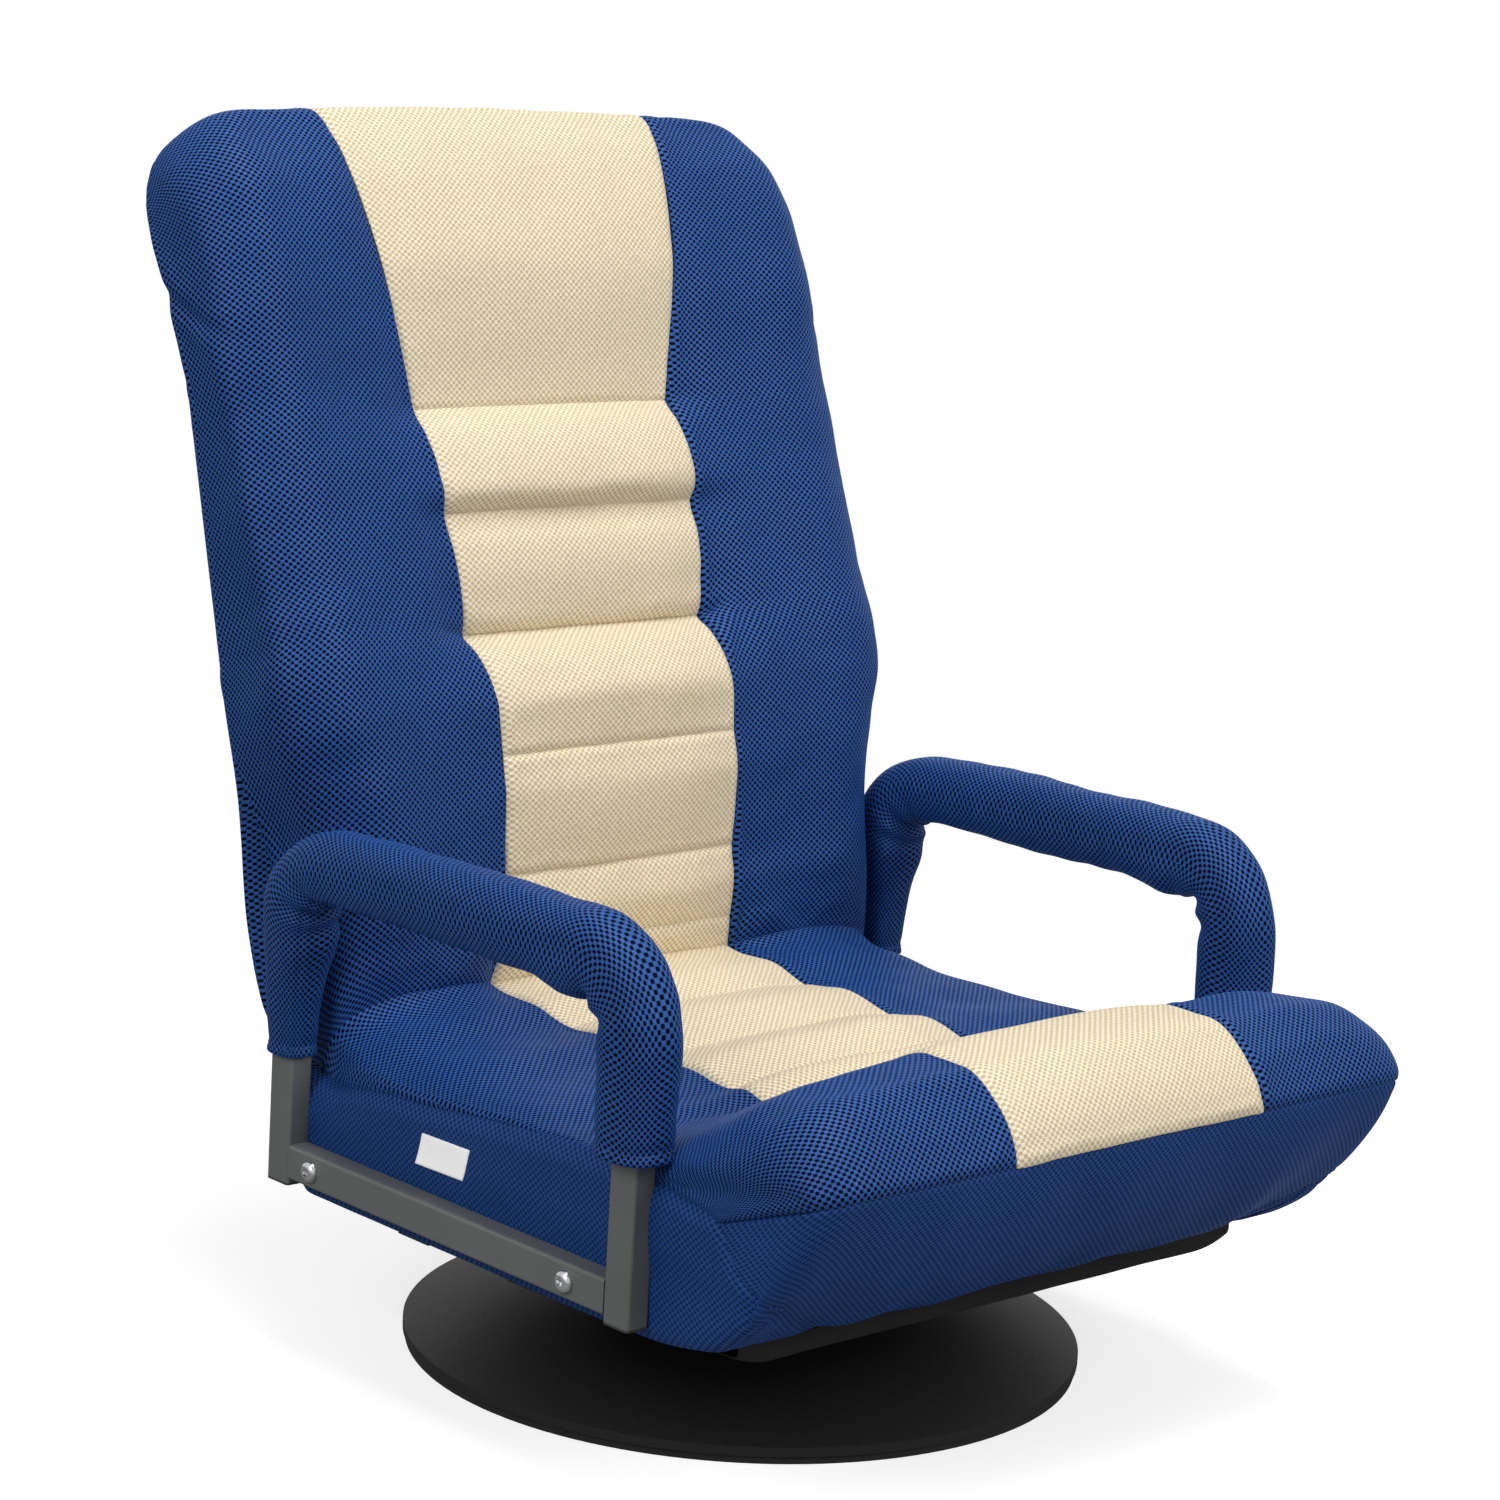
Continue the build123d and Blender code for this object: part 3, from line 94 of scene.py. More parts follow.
SLEEVE_POINTS = 48  # points in a ring
STITCH_PITCH = 0.0042  # metres
CLOTH_UV = "cloth"  # UV layer with each panel's places on the flat cloth


def on_back(s, n):
    """(y, z) of a place s up the back and n towards the sitter."""
    return (
        HINGE[0] + s * math.sin(LEAN) - n * math.cos(LEAN),
        HINGE[1] + s * math.cos(LEAN) + n * math.sin(LEAN),
    )


# Long profile of the cushion along the stripe's edge, from the front seam over the seat and up the back.
# Each row: place (y, z), rise of the blue crown over the seam, stripe half, outer half, roundness of the
# side, and the seam (y, z) where the cover's side ends.
SEAT_ROWS = [
    ((-333, 224), 0, 106.6, 253, 10, (-243, 193)),
    ((-326, 241), 0, 106.6, 253, 8, (-242.5, 193.5)),
    ((-312, 257), 0, 106.5, 253, 6, (-240, 194)),
    ((-287, 270), 0, 106.4, 252, 4.6, (-234, 194.5)),
    ((-258, 271), 0, 106.2, 251, 3.6, (-225, 195.5)),
    ((-219, 255), 0, 106, 250, 3, (-208, 197)),
    ((-180, 231), 0, 106, 249, 2.7, (-180, 200)),
    ((-150, 216), 0, 106, 249, 2.5, (-150, 202)),
    ((-122, 206.5), 0, 106, 249, 2.4, (-122, 202)),
    ((-106, 211), 0, 106, 249, 2.3, (-106, 201.5)),
    ((-91, 207), 3, 106, 249, 2.3, (-91, 200.5)),
    ((-54, 213), 1, 106, 249, 2.3, (-54, 198)),
    ((-16.5, 208), 4, 106, 249, 2.3, (-16.5, 195)),
    ((24, 214.5), 1, 105.8, 249, 2.4, (24, 191)),
    ((64, 210), 5, 105.5, 249, 2.5, (64, 188)),
    ((100, 218), 4, 105.2, 247, 2.7, (98, 183)),
    ((128, 217), 9, 105, 240, 3, (126, 178)),
]
BACK_ROWS = [
    ((31, 22), 16, 105, 235, 3.6, (-6, 8)),
    ((52, 33), 13, 101, 235, 4.6, (2, -6)),
    ((75, 42), 9, 100, 235, 5.6, (30, -15)),
    ((100, 45.5), 9, 100, 235, 6, (66, -17)),
    ((120, 51.5), 6, 100, 235, 6, (98, -17)),
    ((149, 59), 3, 100, 239, 6, (138, -16)),
    ((177, 61), 4, 100, 251, 5.5, (173, -15)),
    ((208, 64), 3, 101, 260, 6.5, (208, -15)),
    ((228, 58), 8, 102, 261, 6.8, (228, -15)),
    ((243, 48), 16, 103, 261, 7, (243, -15)),
    ((258.5, 33), 28, 104, 260, 7, (258.5, -15)),
    ((268, 38), 21, 104.3, 260, 7, (268, -15)),
    ((287, 41), 15, 105.2, 259, 7, (287, -15)),
    ((312, 41), 11.5, 106.5, 259, 7, (312, -15)),
    ((338, 36.5), 13, 107.8, 259, 7, (338, -15)),
    ((349, 42.5), 6, 108.3, 259, 7, (349, -15)),
    ((368, 40), 6, 109.2, 259, 6.8, (368, -15)),
    ((390, 31), 12, 110.2, 259, 6.6, (390, -15)),
    ((408, 19.5), 21, 111, 259, 6.4, (408, -15)),
    ((425, 21.5), 17.5, 113.5, 259, 6.2, (425, -15)),
    ((458, 25.5), 13, 118.4, 259, 6, (458, -17)),
    ((495, 28.5), 12, 123.9, 259, 5.6, (495, -24)),
    ((531, 25), 12, 129.3, 259, 4.6, (529, -33)),
    ((567, 18), 9, 134.6, 258, 3.5, (551, -37)),
    ((593, 8), 3, 138.5, 255, 2.5, (564, -37)),
    ((608, -5), 0, 141, 252, 2.1, (572, -35)),
    ((611, -20), 0, 141.5, 249, 2, (576, -32)),
]
SEAT_SEAMS = (8, 10, 12, 14)  # rows of the seat's channel seams
BACK_SEAMS = (1, 3, 6, 10, 14, 18)  # rows of the back's channel seams
JOIN_ROW = len(SEAT_ROWS)  # first row that belongs to the back
EVEN_ROWS = (2, 5, 22, 24)  # rows of the back between which the wings' crest is evened out
WAIST_ROW = 21  # row of the fold below the head


def hexcolour(text):
    """Linear RGB of an sRGB hex colour."""
    channels = [int(text[i : i + 2], 16) / 255 for i in (1, 3, 5)]
    return [c / 12.92 if c <= 0.04045 else ((c + 0.055) / 1.055) ** 2.4 for c in channels]


def ramp(value, start, width):
    """0 up to the start, 1 past the width, and even between."""
    return np.clip((value - start) / width, 0, 1)


def ease(share):
    """A share from 0 to 1 with a soft start and end."""
    return share**2 * (3 - 2 * share)


def bump(distance, width):
    """1 at no distance, fading out over the width."""
    return np.exp(-((distance / width) ** 2))


def run_of(line):
    """Distance along a line of points, from its first point."""
    return np.concatenate([[0], np.cumsum(np.linalg.norm(np.diff(line, axis=0), axis=1))])


def points_at(line, run, places):
    """Points of a line at places along its run."""
    return np.column_stack([np.interp(places, run, line[:, k]) for k in range(line.shape[1])])


def mirrored(half):
    """A line from the middle to the left end, with its mirror image before it."""
    return np.vstack([(half * [-1, 1, 1])[::-1], half[1:]])


def rounded_side(power):
    """Shares across and down of a cushion's rounded side, from its crest to its seam."""
    turn = np.linspace(0, np.pi / 2, 300)
    return np.sin(turn) ** (2 / power), 1 - np.cos(turn) ** (2 / power)


def flat_map(across, along):
    """Places on the flat cloth for each point of a grid."""
    return np.stack(np.broadcast_arrays(across, along), axis=2)


def corners_mm(box):
    """Low and high corner of a box in metres, in mm."""
    return [np.array(p) / MM for p in box]


def through(knots, values, places):
    """Values on a smooth curve through the knots that never swings past them."""
    knots = np.asarray(knots, float)
    values = np.asarray(values, float)
    step = np.diff(knots)
    rate = np.diff(values) / step
    slope = np.zeros_like(values)
    same = rate[:-1] * rate[1:] > 0
    both = np.where(same, rate[:-1] + rate[1:], 1.0)
    slope[1:-1] = np.where(same, 2 * rate[:-1] * rate[1:] / both, 0.0)
    slope[0] = rate[0]
    slope[-1] = rate[-1]
    i = np.clip(np.searchsorted(knots, places, side="right") - 1, 0, len(step) - 1)
    t = (places - knots[i]) / step[i]
    h = step[i]
    return (
        (2 * t**3 - 3 * t**2 + 1) * values[i]
        + (t**3 - 2 * t**2 + t) * h * slope[i]
        + (3 * t**2 - 2 * t**3) * values[i + 1]
        + (t**3 - t**2) * h * slope[i + 1]
    )


def crowded(count, ends=0.75):
    """Fractions from 0 to 1, closer together near both ends."""
    t = np.linspace(0, 1, count)
    return t - ends * np.sin(2 * np.pi * t) / (2 * np.pi)


def evened(line, reach):
    """A line of points with its waves taken out over a reach of points to each side."""
    window = np.hanning(2 * reach + 1)
    window /= window.sum()
    before = 2 * line[0] - line[reach:0:-1]
    after = 2 * line[-1] - line[-2 : -reach - 2 : -1]
    whole = np.vstack([before, line, after])
    return np.stack([np.convolve(whole[:, k], window, "valid") for k in range(line.shape[1])], axis=1)


class Profile:
    """The cushion's long profile as smooth curves over its own length."""

    def __init__(self):
        rows = list(SEAT_ROWS)
        for place, rise, stripe, outer, power, seam in BACK_ROWS:
            rows.append((on_back(*place), rise, stripe, outer, power, on_back(*seam)))
        self.points = np.array([r[0] for r in rows], float)
        self.knots = run_of(self.points)
        self.columns = {
            "y": self.points[:, 0],
            "z": self.points[:, 1],
            "seam_y": [r[5][0] for r in rows],
            "seam_z": [r[5][1] for r in rows],
        }
        for k, column in enumerate(("rise", "stripe", "outer", "power"), start=1):
            self.columns[column] = [r[k] for r in rows]
        self.length = self.knots[-1]
        dense = np.linspace(0, self.length, 1200)
        line = self.edge(dense)
        along = np.gradient(evened(line, 110), axis=0)
        along /= np.linalg.norm(along, axis=1)[:, None]
        self.dense = dense
        self.out = np.stack([-along[:, 1], along[:, 0]], axis=1)
        crest = line + self.out * self.at("rise", dense)[:, None]
        low, calm, still, high = (self.back_knot(row) for row in EVEN_ROWS)
        start = ramp(dense, low, calm - low)
        end = ramp(-dense, -high, high - still)
        share = (start * end)[:, None]
        self.ridge = crest + (evened(crest, 70) - crest) * share

    def at(self, column, places):
        """Values of one column at places along the profile."""
        return through(self.knots, self.columns[column], np.asarray(places, float))

    def edge(self, places):
        return np.stack([self.at("y", places), self.at("z", places)], axis=1)

    def seam(self, places):
        return np.stack([self.at("seam_y", places), self.at("seam_z", places)], axis=1)

    def crest(self, places):
        """Top of the wings as (y, z)."""
        return points_at(self.ridge, self.dense, places)

    def outward(self, places):
        """Unit direction out of the cushion as (y, z)."""
        found = points_at(self.out, self.dense, places)
        return found / np.linalg.norm(found, axis=1)[:, None]

    def seat_knot(self, row):
        return self.knots[row]

    def back_knot(self, row):
        return self.knots[JOIN_ROW + row]


PROFILE = Profile()


def run_lengths(points, axis):
    """Distance along each line of a grid of points, from its first point."""
    step = np.linalg.norm(np.diff(points, axis=axis), axis=2)
    start = np.zeros_like(np.take(step, [0], axis=axis))
    return np.concatenate([start, np.cumsum(step, axis=axis)], axis=axis)


def ripples(points, size, seed):
    """Smooth repeatable unevenness from -1 to 1, about size mm across."""
    rng = np.random.default_rng(seed)
    total = np.zeros(points.shape[:-1])
    for _ in range(7):
        way = rng.normal(size=3)
        way /= np.linalg.norm(way) * size * rng.uniform(0.7, 1.6)
        total += np.sin(2 * np.pi * (points @ way) + rng.uniform(0, 2 * np.pi))
    return total / 4.0


def surface_normals(points):
    """Unit normals of a grid of points."""
    down = np.gradient(points, axis=0)
    side = np.gradient(points, axis=1)
    normal = np.cross(side, down)
    return normal / np.maximum(np.linalg.norm(normal, axis=2), 1e-9)[..., None]


def new_object(name, data):
    """An object in the scene for a mesh, lamp or camera."""
    obj = bpy.data.objects.new(name, data)
    bpy.context.scene.collection.objects.link(obj)
    return obj


def cloth_object(
    name, grid, uv, material, thickness=CLOTH, flip=False, closed=False, stuffing=0.0, sewn=(), rounds=1, left_open=None
):
    """Mesh object of a sewn panel: a grid of points in mm with a cloth thickness inwards.

    Stuffing limits how far its cloth is blown up between the edges and the rows that are sewn down. Faces marked
    in left_open are left out.
    """
    rows, cols = grid.shape[:2]
    wide = cols if closed else cols - 1
    index = np.arange(rows * cols).reshape(rows, cols)
    faces = []
    corners = []
    for j in range(wide):
        k = (j + 1) % cols
        for i in range(rows - 1):
            if left_open is not None and left_open[i, j]:
                continue
            ring = [(i, j), (i, k), (i + 1, k), (i + 1, j)]
            if flip:
                ring.reverse()
            faces.append([int(index[a]) for a in ring])
            corners.append(ring)
    mesh = bpy.data.meshes.new(name)
    mesh.from_pydata((grid.reshape(-1, 3) * MM).tolist(), [], faces)
    layer = mesh.uv_layers.new(name=CLOTH_UV)
    flat = []
    for ring in corners:
        wraps = closed and {b for _, b in ring} == {0, cols - 1}
        for i, j in ring:
            column = cols if wraps and j == 0 else j
            flat.extend(uv[i, column] * MM)
    layer.data.foreach_set("uv", np.asarray(flat, np.float32))
    mesh.materials.append(material)
    obj = new_object(name, mesh)
    if stuffing:
        held = {*index[0], *index[-1], *index[list(sewn)].ravel()}
        if not closed:
            held |= {*index[:, 0], *index[:, -1]}
        inflate(obj, sorted(held), stuffing)
    wall = obj.modifiers.new("wall", "SOLIDIFY")
    wall.thickness = thickness * MM
    wall.offset = -1.0
    wall.use_even_offset = False
    smooth = obj.modifiers.new("smooth", "SUBSURF")
    smooth.levels = rounds
    smooth.render_levels = rounds
    return settle(obj)


def inflate(obj, held, cap):
    """Blow a panel up like a stuffed cushion with its sewn edges held, and limit how far it moves."""
    scene = bpy.context.scene
    group = obj.vertex_groups.new(name="sewn")
    group.add([int(i) for i in held], 1.0, "REPLACE")
    cloth = obj.modifiers.new("stuffing", "CLOTH")
    settings = cloth.settings
    settings.quality = 4
    settings.mass = 0.0008
    settings.tension_stiffness = 20.0
    settings.compression_stiffness = 20.0
    settings.shear_stiffness = 8.0
    settings.bending_stiffness = 0.05
    settings.shrink_min = -0.004
    settings.use_pressure = True
    settings.uniform_pressure_force = 4.0
    settings.vertex_group_mass = "sewn"
    settings.effector_weights.gravity = 0.0
    cloth.collision_settings.use_collision = False
    cloth.collision_settings.use_self_collision = False
    cloth.point_cache.frame_start = 1
    cloth.point_cache.frame_end = STUFFING_FRAMES
    for step in range(1, STUFFING_FRAMES + 1):
        scene.frame_set(step)
    count = len(obj.data.vertices)
    before = np.empty(count * 3)
    after = np.empty(count * 3)
    obj.data.vertices.foreach_get("co", before)
    stuffed = obj.evaluated_get(bpy.context.evaluated_depsgraph_get())
    stuffed.data.vertices.foreach_get("co", after)
    shift = (after - before).reshape(-1, 3)
    size = np.linalg.norm(shift, axis=1, keepdims=True)
    limit = cap * MM
    shift *= limit / (limit + size)
    obj.data.vertices.foreach_set("co", before + shift.ravel())
    obj.modifiers.clear()
    obj.vertex_groups.clear()
    obj.data.update()
    scene.frame_set(1)


def settle(obj):
    """Apply every modifier and shade smooth."""
    graph = bpy.context.evaluated_depsgraph_get()
    mesh = bpy.data.meshes.new_from_object(obj.evaluated_get(graph))
    old = obj.data
    obj.modifiers.clear()
    obj.data = mesh
    mesh.name = obj.name
    bpy.data.meshes.remove(old)
    mesh.shade_smooth()
    return obj


def sew(name, panel, material, body, slot, nodes=(), fill=0.8, **cut):
    """Make a panel's cloth and ride it on a body, in place of CAD solids. Its slot and fill are not used."""
    obj = cloth_object(name, *panel, material, **cut)
    if body == "crease":
        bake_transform(obj)
    else:
        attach(obj, body)
    if nodes:
        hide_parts(*nodes)
    return obj


# Materials


WHITE = (1, 1, 1, 1)
NOISE_SPAN = (0.3, 0.7)  # most of a noise texture's values lie here


def feed(tree, node, inputs):
    """Give a node's inputs their values and links."""
    for key, value in inputs.items():
        if isinstance(value, bpy.types.NodeSocket):
            tree.links.new(value, node.inputs[key])
        else:
            node.inputs[key].default_value = value


def add(tree, kind, inputs=None, **settings):
    """A new node with its settings, its input values and its links."""
    node = tree.nodes.new(kind)
    for key, value in settings.items():
        setattr(node, key, value)
    feed(tree, node, inputs or {})
    return node


def maths(tree, operation, *values):
    """Result of a maths node."""
    return add(tree, "ShaderNodeMath", dict(enumerate(values)), operation=operation).outputs[0]


def remap(tree, value, low, high, start=0.0, end=1.0, **settings):
    """A value carried from the range start to end over to the range low to high."""
    limits = {"Value": value, "From Min": start, "From Max": end, "To Min": low, "To Max": high}
    return add(tree, "ShaderNodeMapRange", limits, **settings).outputs[0]


def noise(tree, place, scale, detail):
    """Noise with so many cells to the metre."""
    return add(tree, "ShaderNodeTexNoise", {"Vector": place, "Scale": scale, "Detail": detail}).outputs["Fac"]


def scaled(tree, colour, factor):
    """A colour made lighter or darker by a factor."""
    return add(tree, "ShaderNodeVectorMath", {0: colour, "Scale": factor}, operation="SCALE").outputs[0]


def new_material(name):
    """A node material with its tree, its shader and its object coordinates."""
    material = bpy.data.materials.new(name)
    material.use_nodes = True
    tree = material.node_tree
    return material, tree, tree.nodes["Principled BSDF"], add(tree, "ShaderNodeTexCoord").outputs["Object"]


def air_mesh(name, thread, hole, shine, mottle, looks):
    """Knitted air mesh: open cells between glossy filament threads, so the holes read dark and the threads sheen."""
    if name in bpy.data.materials:
        return bpy.data.materials[name]
    material, tree, shader, spot = new_material(name)
    place = add(tree, "ShaderNodeUVMap", uv_map=CLOTH_UV)
    split = add(tree, "ShaderNodeSeparateXYZ", {0: place.outputs["UV"]})
    waves = []
    for axis, pitch in (("X", looks.cell_width), ("Y", looks.cell_height)):
        turn = maths(tree, "MULTIPLY", split.outputs[axis], 2 * math.pi / pitch)
        waves.append(maths(tree, "COSINE", turn))
    lattice = maths(tree, "MULTIPLY", *waves)
    cell = remap(tree, lattice, 0.0, 1.0, -0.2, 0.4, interpolation_type="SMOOTHSTEP")
    patches = remap(tree, noise(tree, spot, 14.0, 3.0), 1 - mottle, 1 + mottle, *NOISE_SPAN)
    fuzz = remap(tree, noise(tree, spot, 900.0, 2.0), 0.88, 1.12, *NOISE_SPAN)
    knit = {"Factor": cell, 6: (*thread, 1.0), 7: (*hole, 1.0)}
    colour = add(tree, "ShaderNodeMix", knit, data_type="RGBA").outputs[2]
    height = maths(tree, "SUBTRACT", 1.0, cell)
    relief = add(tree, "ShaderNodeBump", {"Height": height, "Strength": 0.55, "Distance": 0.0007})
    looked = {
        "Base Color": scaled(tree, colour, maths(tree, "MULTIPLY", patches, fuzz)),
        "Normal": relief.outputs[0],
        "Roughness": 0.52,
        "Specular IOR Level": remap(tree, cell, 0.26, 0.02),
        "Sheen Weight": shine,
        "Sheen Roughness": 0.35,
        "Sheen Tint": (*[min(1.0, 2.5 * c) for c in thread], 1.0),
    }
    feed(tree, shader, looked)
    return material


def coated(name, colour, roughness, grit, depth):
    """Powder coat, moulded plastic, rubber or woven cloth: one colour whose fine skin breaks up a soft gloss."""
    material, tree, shader, spot = new_material(name)
    skin = noise(tree, spot, 1 / grit, 3.0)
    tone = remap(tree, noise(tree, spot, 9.0, 2.0), 0.9, 1.1, *NOISE_SPAN)
    relief = add(tree, "ShaderNodeBump", {"Height": skin, "Strength": 0.35, "Distance": depth})
    looked = {
        "Base Color": scaled(tree, (*colour,), tone),
        "Roughness": remap(tree, skin, roughness - 0.06, roughness + 0.08, *NOISE_SPAN),
        "Normal": relief.outputs[0],
    }
    feed(tree, shader, looked)
    return material


def plated(name, colour, roughness):
    """Zinc or nickel plate: bare metal with faint drawn scratches."""
    material, tree, shader, spot = new_material(name)
    drawn = add(tree, "ShaderNodeMapping", {"Vector": spot, "Scale": (1.0, 1.0, 12.0)})
    scratch = noise(tree, drawn.outputs[0], 700.0, 4.0)
    looked = {
        "Base Color": scaled(tree, (*colour,), remap(tree, scratch, 0.92, 1.05, *NOISE_SPAN)),
        "Roughness": remap(tree, scratch, roughness - 0.05, roughness + 0.1, *NOISE_SPAN),
        "Metallic": 1.0,
    }
    feed(tree, shader, looked)
    return material


def blue_mesh(looks):
    """Blue air mesh of the wings, sleeves and rear: deep holes and a strong sheen."""
    return air_mesh("blue_air_mesh", looks.blue_thread, looks.blue_cell, 0.3, 0.06, looks)


def blue_cloth(looks):
    """Blue knit of the band and sides: closed cells, so it reads plainer."""
    return air_mesh("blue_knit_cloth", looks.band_thread, looks.band_cell, 0.2, 0.04, looks)


def cream_mesh(looks):
    """Cream air mesh of the middle stripe: pale threads over a warm tan ground."""
    return air_mesh("cream_air_mesh", looks.cream_thread, looks.cream_cell, 0.1, 0.015, looks)


# Panels of the cushion


def stripe_grid(looks, start, end, seams, crown, base):
    """Grid of a cream panel between two places on the profile, and the rows that are sewn down."""
    stops = [start, *[s for s in seams if start < s < end], end]
    places = [np.array([start])]
    for low, high in zip(stops, stops[1:]):
        count = max(9, int((high - low) / 4.5))
        places.append(low + (high - low) * crowded(count, 0.6)[1:])
    places = np.concatenate(places)
    edge = PROFILE.edge(places)
    out = PROFILE.outward(places)
    half = PROFILE.at("stripe", places)
    across = 2 * crowded(STRIPE_POINTS, 0.7) - 1
    swell = np.zeros(len(places))
    dip = np.zeros(len(places))
    for low, high in zip(stops, stops[1:]):
        inside = (places >= low) & (places <= high)
        share = (places[inside] - low) / (high - low)
        size = min(1.0, (high - low) / 60)
        swell[inside] = crown * size * np.sin(np.pi * share) ** 0.7
    for stop in stops:
        dip = np.maximum(dip, bump(places - stop, looks.seam_width))
    lift = (base + swell)[:, None] * (1 - np.abs(across)[None, :] ** 3.2)
    beside = half[:, None] * (1 - np.abs(across)[None, :])
    groove = np.maximum(dip[:, None], bump(beside, looks.seam_width))
    lift -= looks.seam_depth * groove
    grid = np.zeros((len(places), len(across), 3))
    grid[..., 0] = half[:, None] * across[None, :]
    grid[..., 1:] = edge[:, None, :] + out[:, None, :] * lift[..., None]
    wave = ripples(grid, 70, 5) * 0.8 * (1 - np.clip(groove, 0, 1))
    grid[..., 1:] += out[:, None, :] * wave[..., None]
    uv = flat_map(grid[..., 0], run_lengths(grid, 0)[:, [len(across) // 2]] + start)
    return grid, uv, [int(np.argmin(np.abs(places - stop))) for stop in stops]


def wing_grid(looks, side):
    """Grid of one blue wing: seat bolster, crease and back bolster in one length of cloth."""
    places = np.linspace(0, PROFILE.length, WING_POINTS[0])
    edge = PROFILE.edge(places)
    out = PROFILE.outward(places)
    stripe = PROFILE.at("stripe", places)
    outer = PROFILE.at("outer", places)
    crest = PROFILE.crest(places)
    power = PROFILE.at("power", places)
    full = looks.wing_crown * ramp(places, PROFILE.back_knot(0), 60)
    seam = PROFILE.seam(places)
    fraction = crowded(WING_POINTS[1], 0.72)
    grid = np.zeros((len(places), len(fraction), 3))
    for i in range(len(places)):
        wide, deep = rounded_side(power[i])
        x = stripe[i] + (outer[i] - stripe[i]) * wide
        low = np.exp(-(x - stripe[i]) / looks.shoulder)[:, None]
        swell = full[i] * np.sin(np.pi * wide**2.2) ** 2
        line = edge[i] * low + crest[i] * (1 - low) + out[i] * swell[:, None]
        line = line * (1 - deep)[:, None] + seam[i] * deep[:, None]
        curve = np.column_stack([x, line])
        run = run_of(curve)
        grid[i] = points_at(curve, run, fraction * run[-1])
    run = run_lengths(grid, 1)
    rest = run[:, -1:] - run
    normal = surface_normals(grid)
    normal[normal[..., 0] < -0.9] *= -1
    ends = np.minimum(places, PROFILE.length - places)[:, None]
    near = np.minimum(np.minimum(run, rest), ends)
    grid -= normal * (looks.seam_depth * bump(near, looks.seam_width))[..., None]
    other = side < 0
    wave = ripples(grid, 95, 11 + other) * 1.6 + ripples(grid, 38, 21 + other) * 0.5
    grid += normal * (wave * (1 - bump(near, 22)))[..., None]
    # A crease at the waist, from the outer seam inwards.
    waist = bump(places[:, None] - PROFILE.back_knot(WAIST_ROW) + 0.8 * rest, 8)
    grid -= normal * (4.0 * waist * bump(rest - 16, 26))[..., None]
    uv = flat_map(run + stripe[:, None], run_lengths(grid, 0)[:, [len(fraction) // 3]])
    grid[..., 0] *= side
    uv[..., 0] *= side
    return grid, uv


def front_seam_line(count):
    """Front seam from the right tip round both corners to the left tip, as (x, y, z)."""
    start, _, stripe, outer, power, tip = SEAT_ROWS[0]
    wide, deep = rounded_side(power)
    x = stripe + (outer - stripe) * wide
    line = np.array(start) * (1 - deep)[:, None] + np.array(tip) * deep[:, None]
    whole = mirrored(np.vstack([[0.0, start[0] - 1.0, start[1] + 1.0], np.column_stack([x, line])]))
    run = run_of(whole)
    return points_at(whole, run, np.linspace(0, run[-1], count))


# Where the front band ends below, on the left: from under the seat round the corner up to the side tip.
BAND_FOOT = [
    (0, -226, 107),
    (190, -226, 107),
    (214, -233, 111),
    (234, -251, 123),
    (246, -269, 140),
    (250, -274, 153),
    (251, -262, 160),
    (252, -252, 171),
    (252.5, -246, 184),
    (253, -243, 193),
]
# Seam across each corner of the band, as (x, z).
BAND_SEAM = [(140, 106), (176, 116), (208, 131), (233, 144), (250, 153), (262, 158)]


def foot_line(top):
    """Lower end of the front band, with one place for each place of its top seam."""
    whole = mirrored(np.array(BAND_FOOT, float))
    run = run_of(whole)
    reach = run_of(top)
    places = reach / reach[-1] * run[-1]
    return np.column_stack([through(run, whole[:, k], places) for k in range(3)])


def band_grid(looks):
    """Grid of the front band, from its seam round the nose to its end under the seat."""
    top = front_seam_line(BAND_POINTS[0])
    foot = foot_line(top)
    down = crowded(BAND_POINTS[1], 0.5)
    grid = np.zeros((len(down), len(top), 3))
    forward = ramp(-top[:, 1], 250, 80) * (1 - 0.6 * ramp(np.abs(top[:, 0]), 150, 95))
    push = np.array([0.0, -20.0, -14.0]) * forward[:, None]
    drop = np.array([0.0, -26.0, -22.0]) * forward[:, None]
    first = top + (foot - top) * 0.3 + push
    second = top + (foot - top) * 0.65 + drop
    for i, t in enumerate(down):
        grid[i] = (1 - t) ** 3 * top + 3 * (1 - t) ** 2 * t * first + 3 * (1 - t) * t**2 * second + t**3 * foot
    normal = surface_normals(grid)
    normal *= np.sign(np.sum(normal * (grid - SEAT_MIDDLE), axis=2, keepdims=True))
    run = run_lengths(grid, 0)
    joined = (foot[:, 2] < 150) * 30.0
    near = np.minimum(run, run[-1:] - run + joined)
    groove = bump(near, looks.seam_width)
    seam = np.array(BAND_SEAM, float)
    beside = np.abs(grid[..., 0])
    above = 0.82 * (grid[..., 2] - np.interp(beside, seam[:, 0], seam[:, 1]))
    groove += 0.8 * bump(above, 3.2) * (beside > seam[0, 0])
    grid -= normal * (looks.seam_depth * groove)[..., None]
    calm = 1 - bump(near, 18)
    grid += normal * (calm * (1.5 + 1.3 * ripples(grid, 80, 31)))[..., None]
    along = run_lengths(grid, 1)[[12]]
    uv = flat_map(along - along[:, [len(top) // 2]], run)
    # A hem turned in below.
    away = grid[-1] - grid[-2]
    away /= np.maximum(np.linalg.norm(away, axis=1), 0.5)[:, None]
    inner = SEAT_MIDDLE - grid[-1]
    inner /= np.linalg.norm(inner, axis=1)[:, None]
    grid = np.concatenate([grid, [grid[-1] + away * 8 + inner * 6]])
    uv = np.concatenate([uv, uv[[-1]] + [0, 10.0]])
    return grid, uv


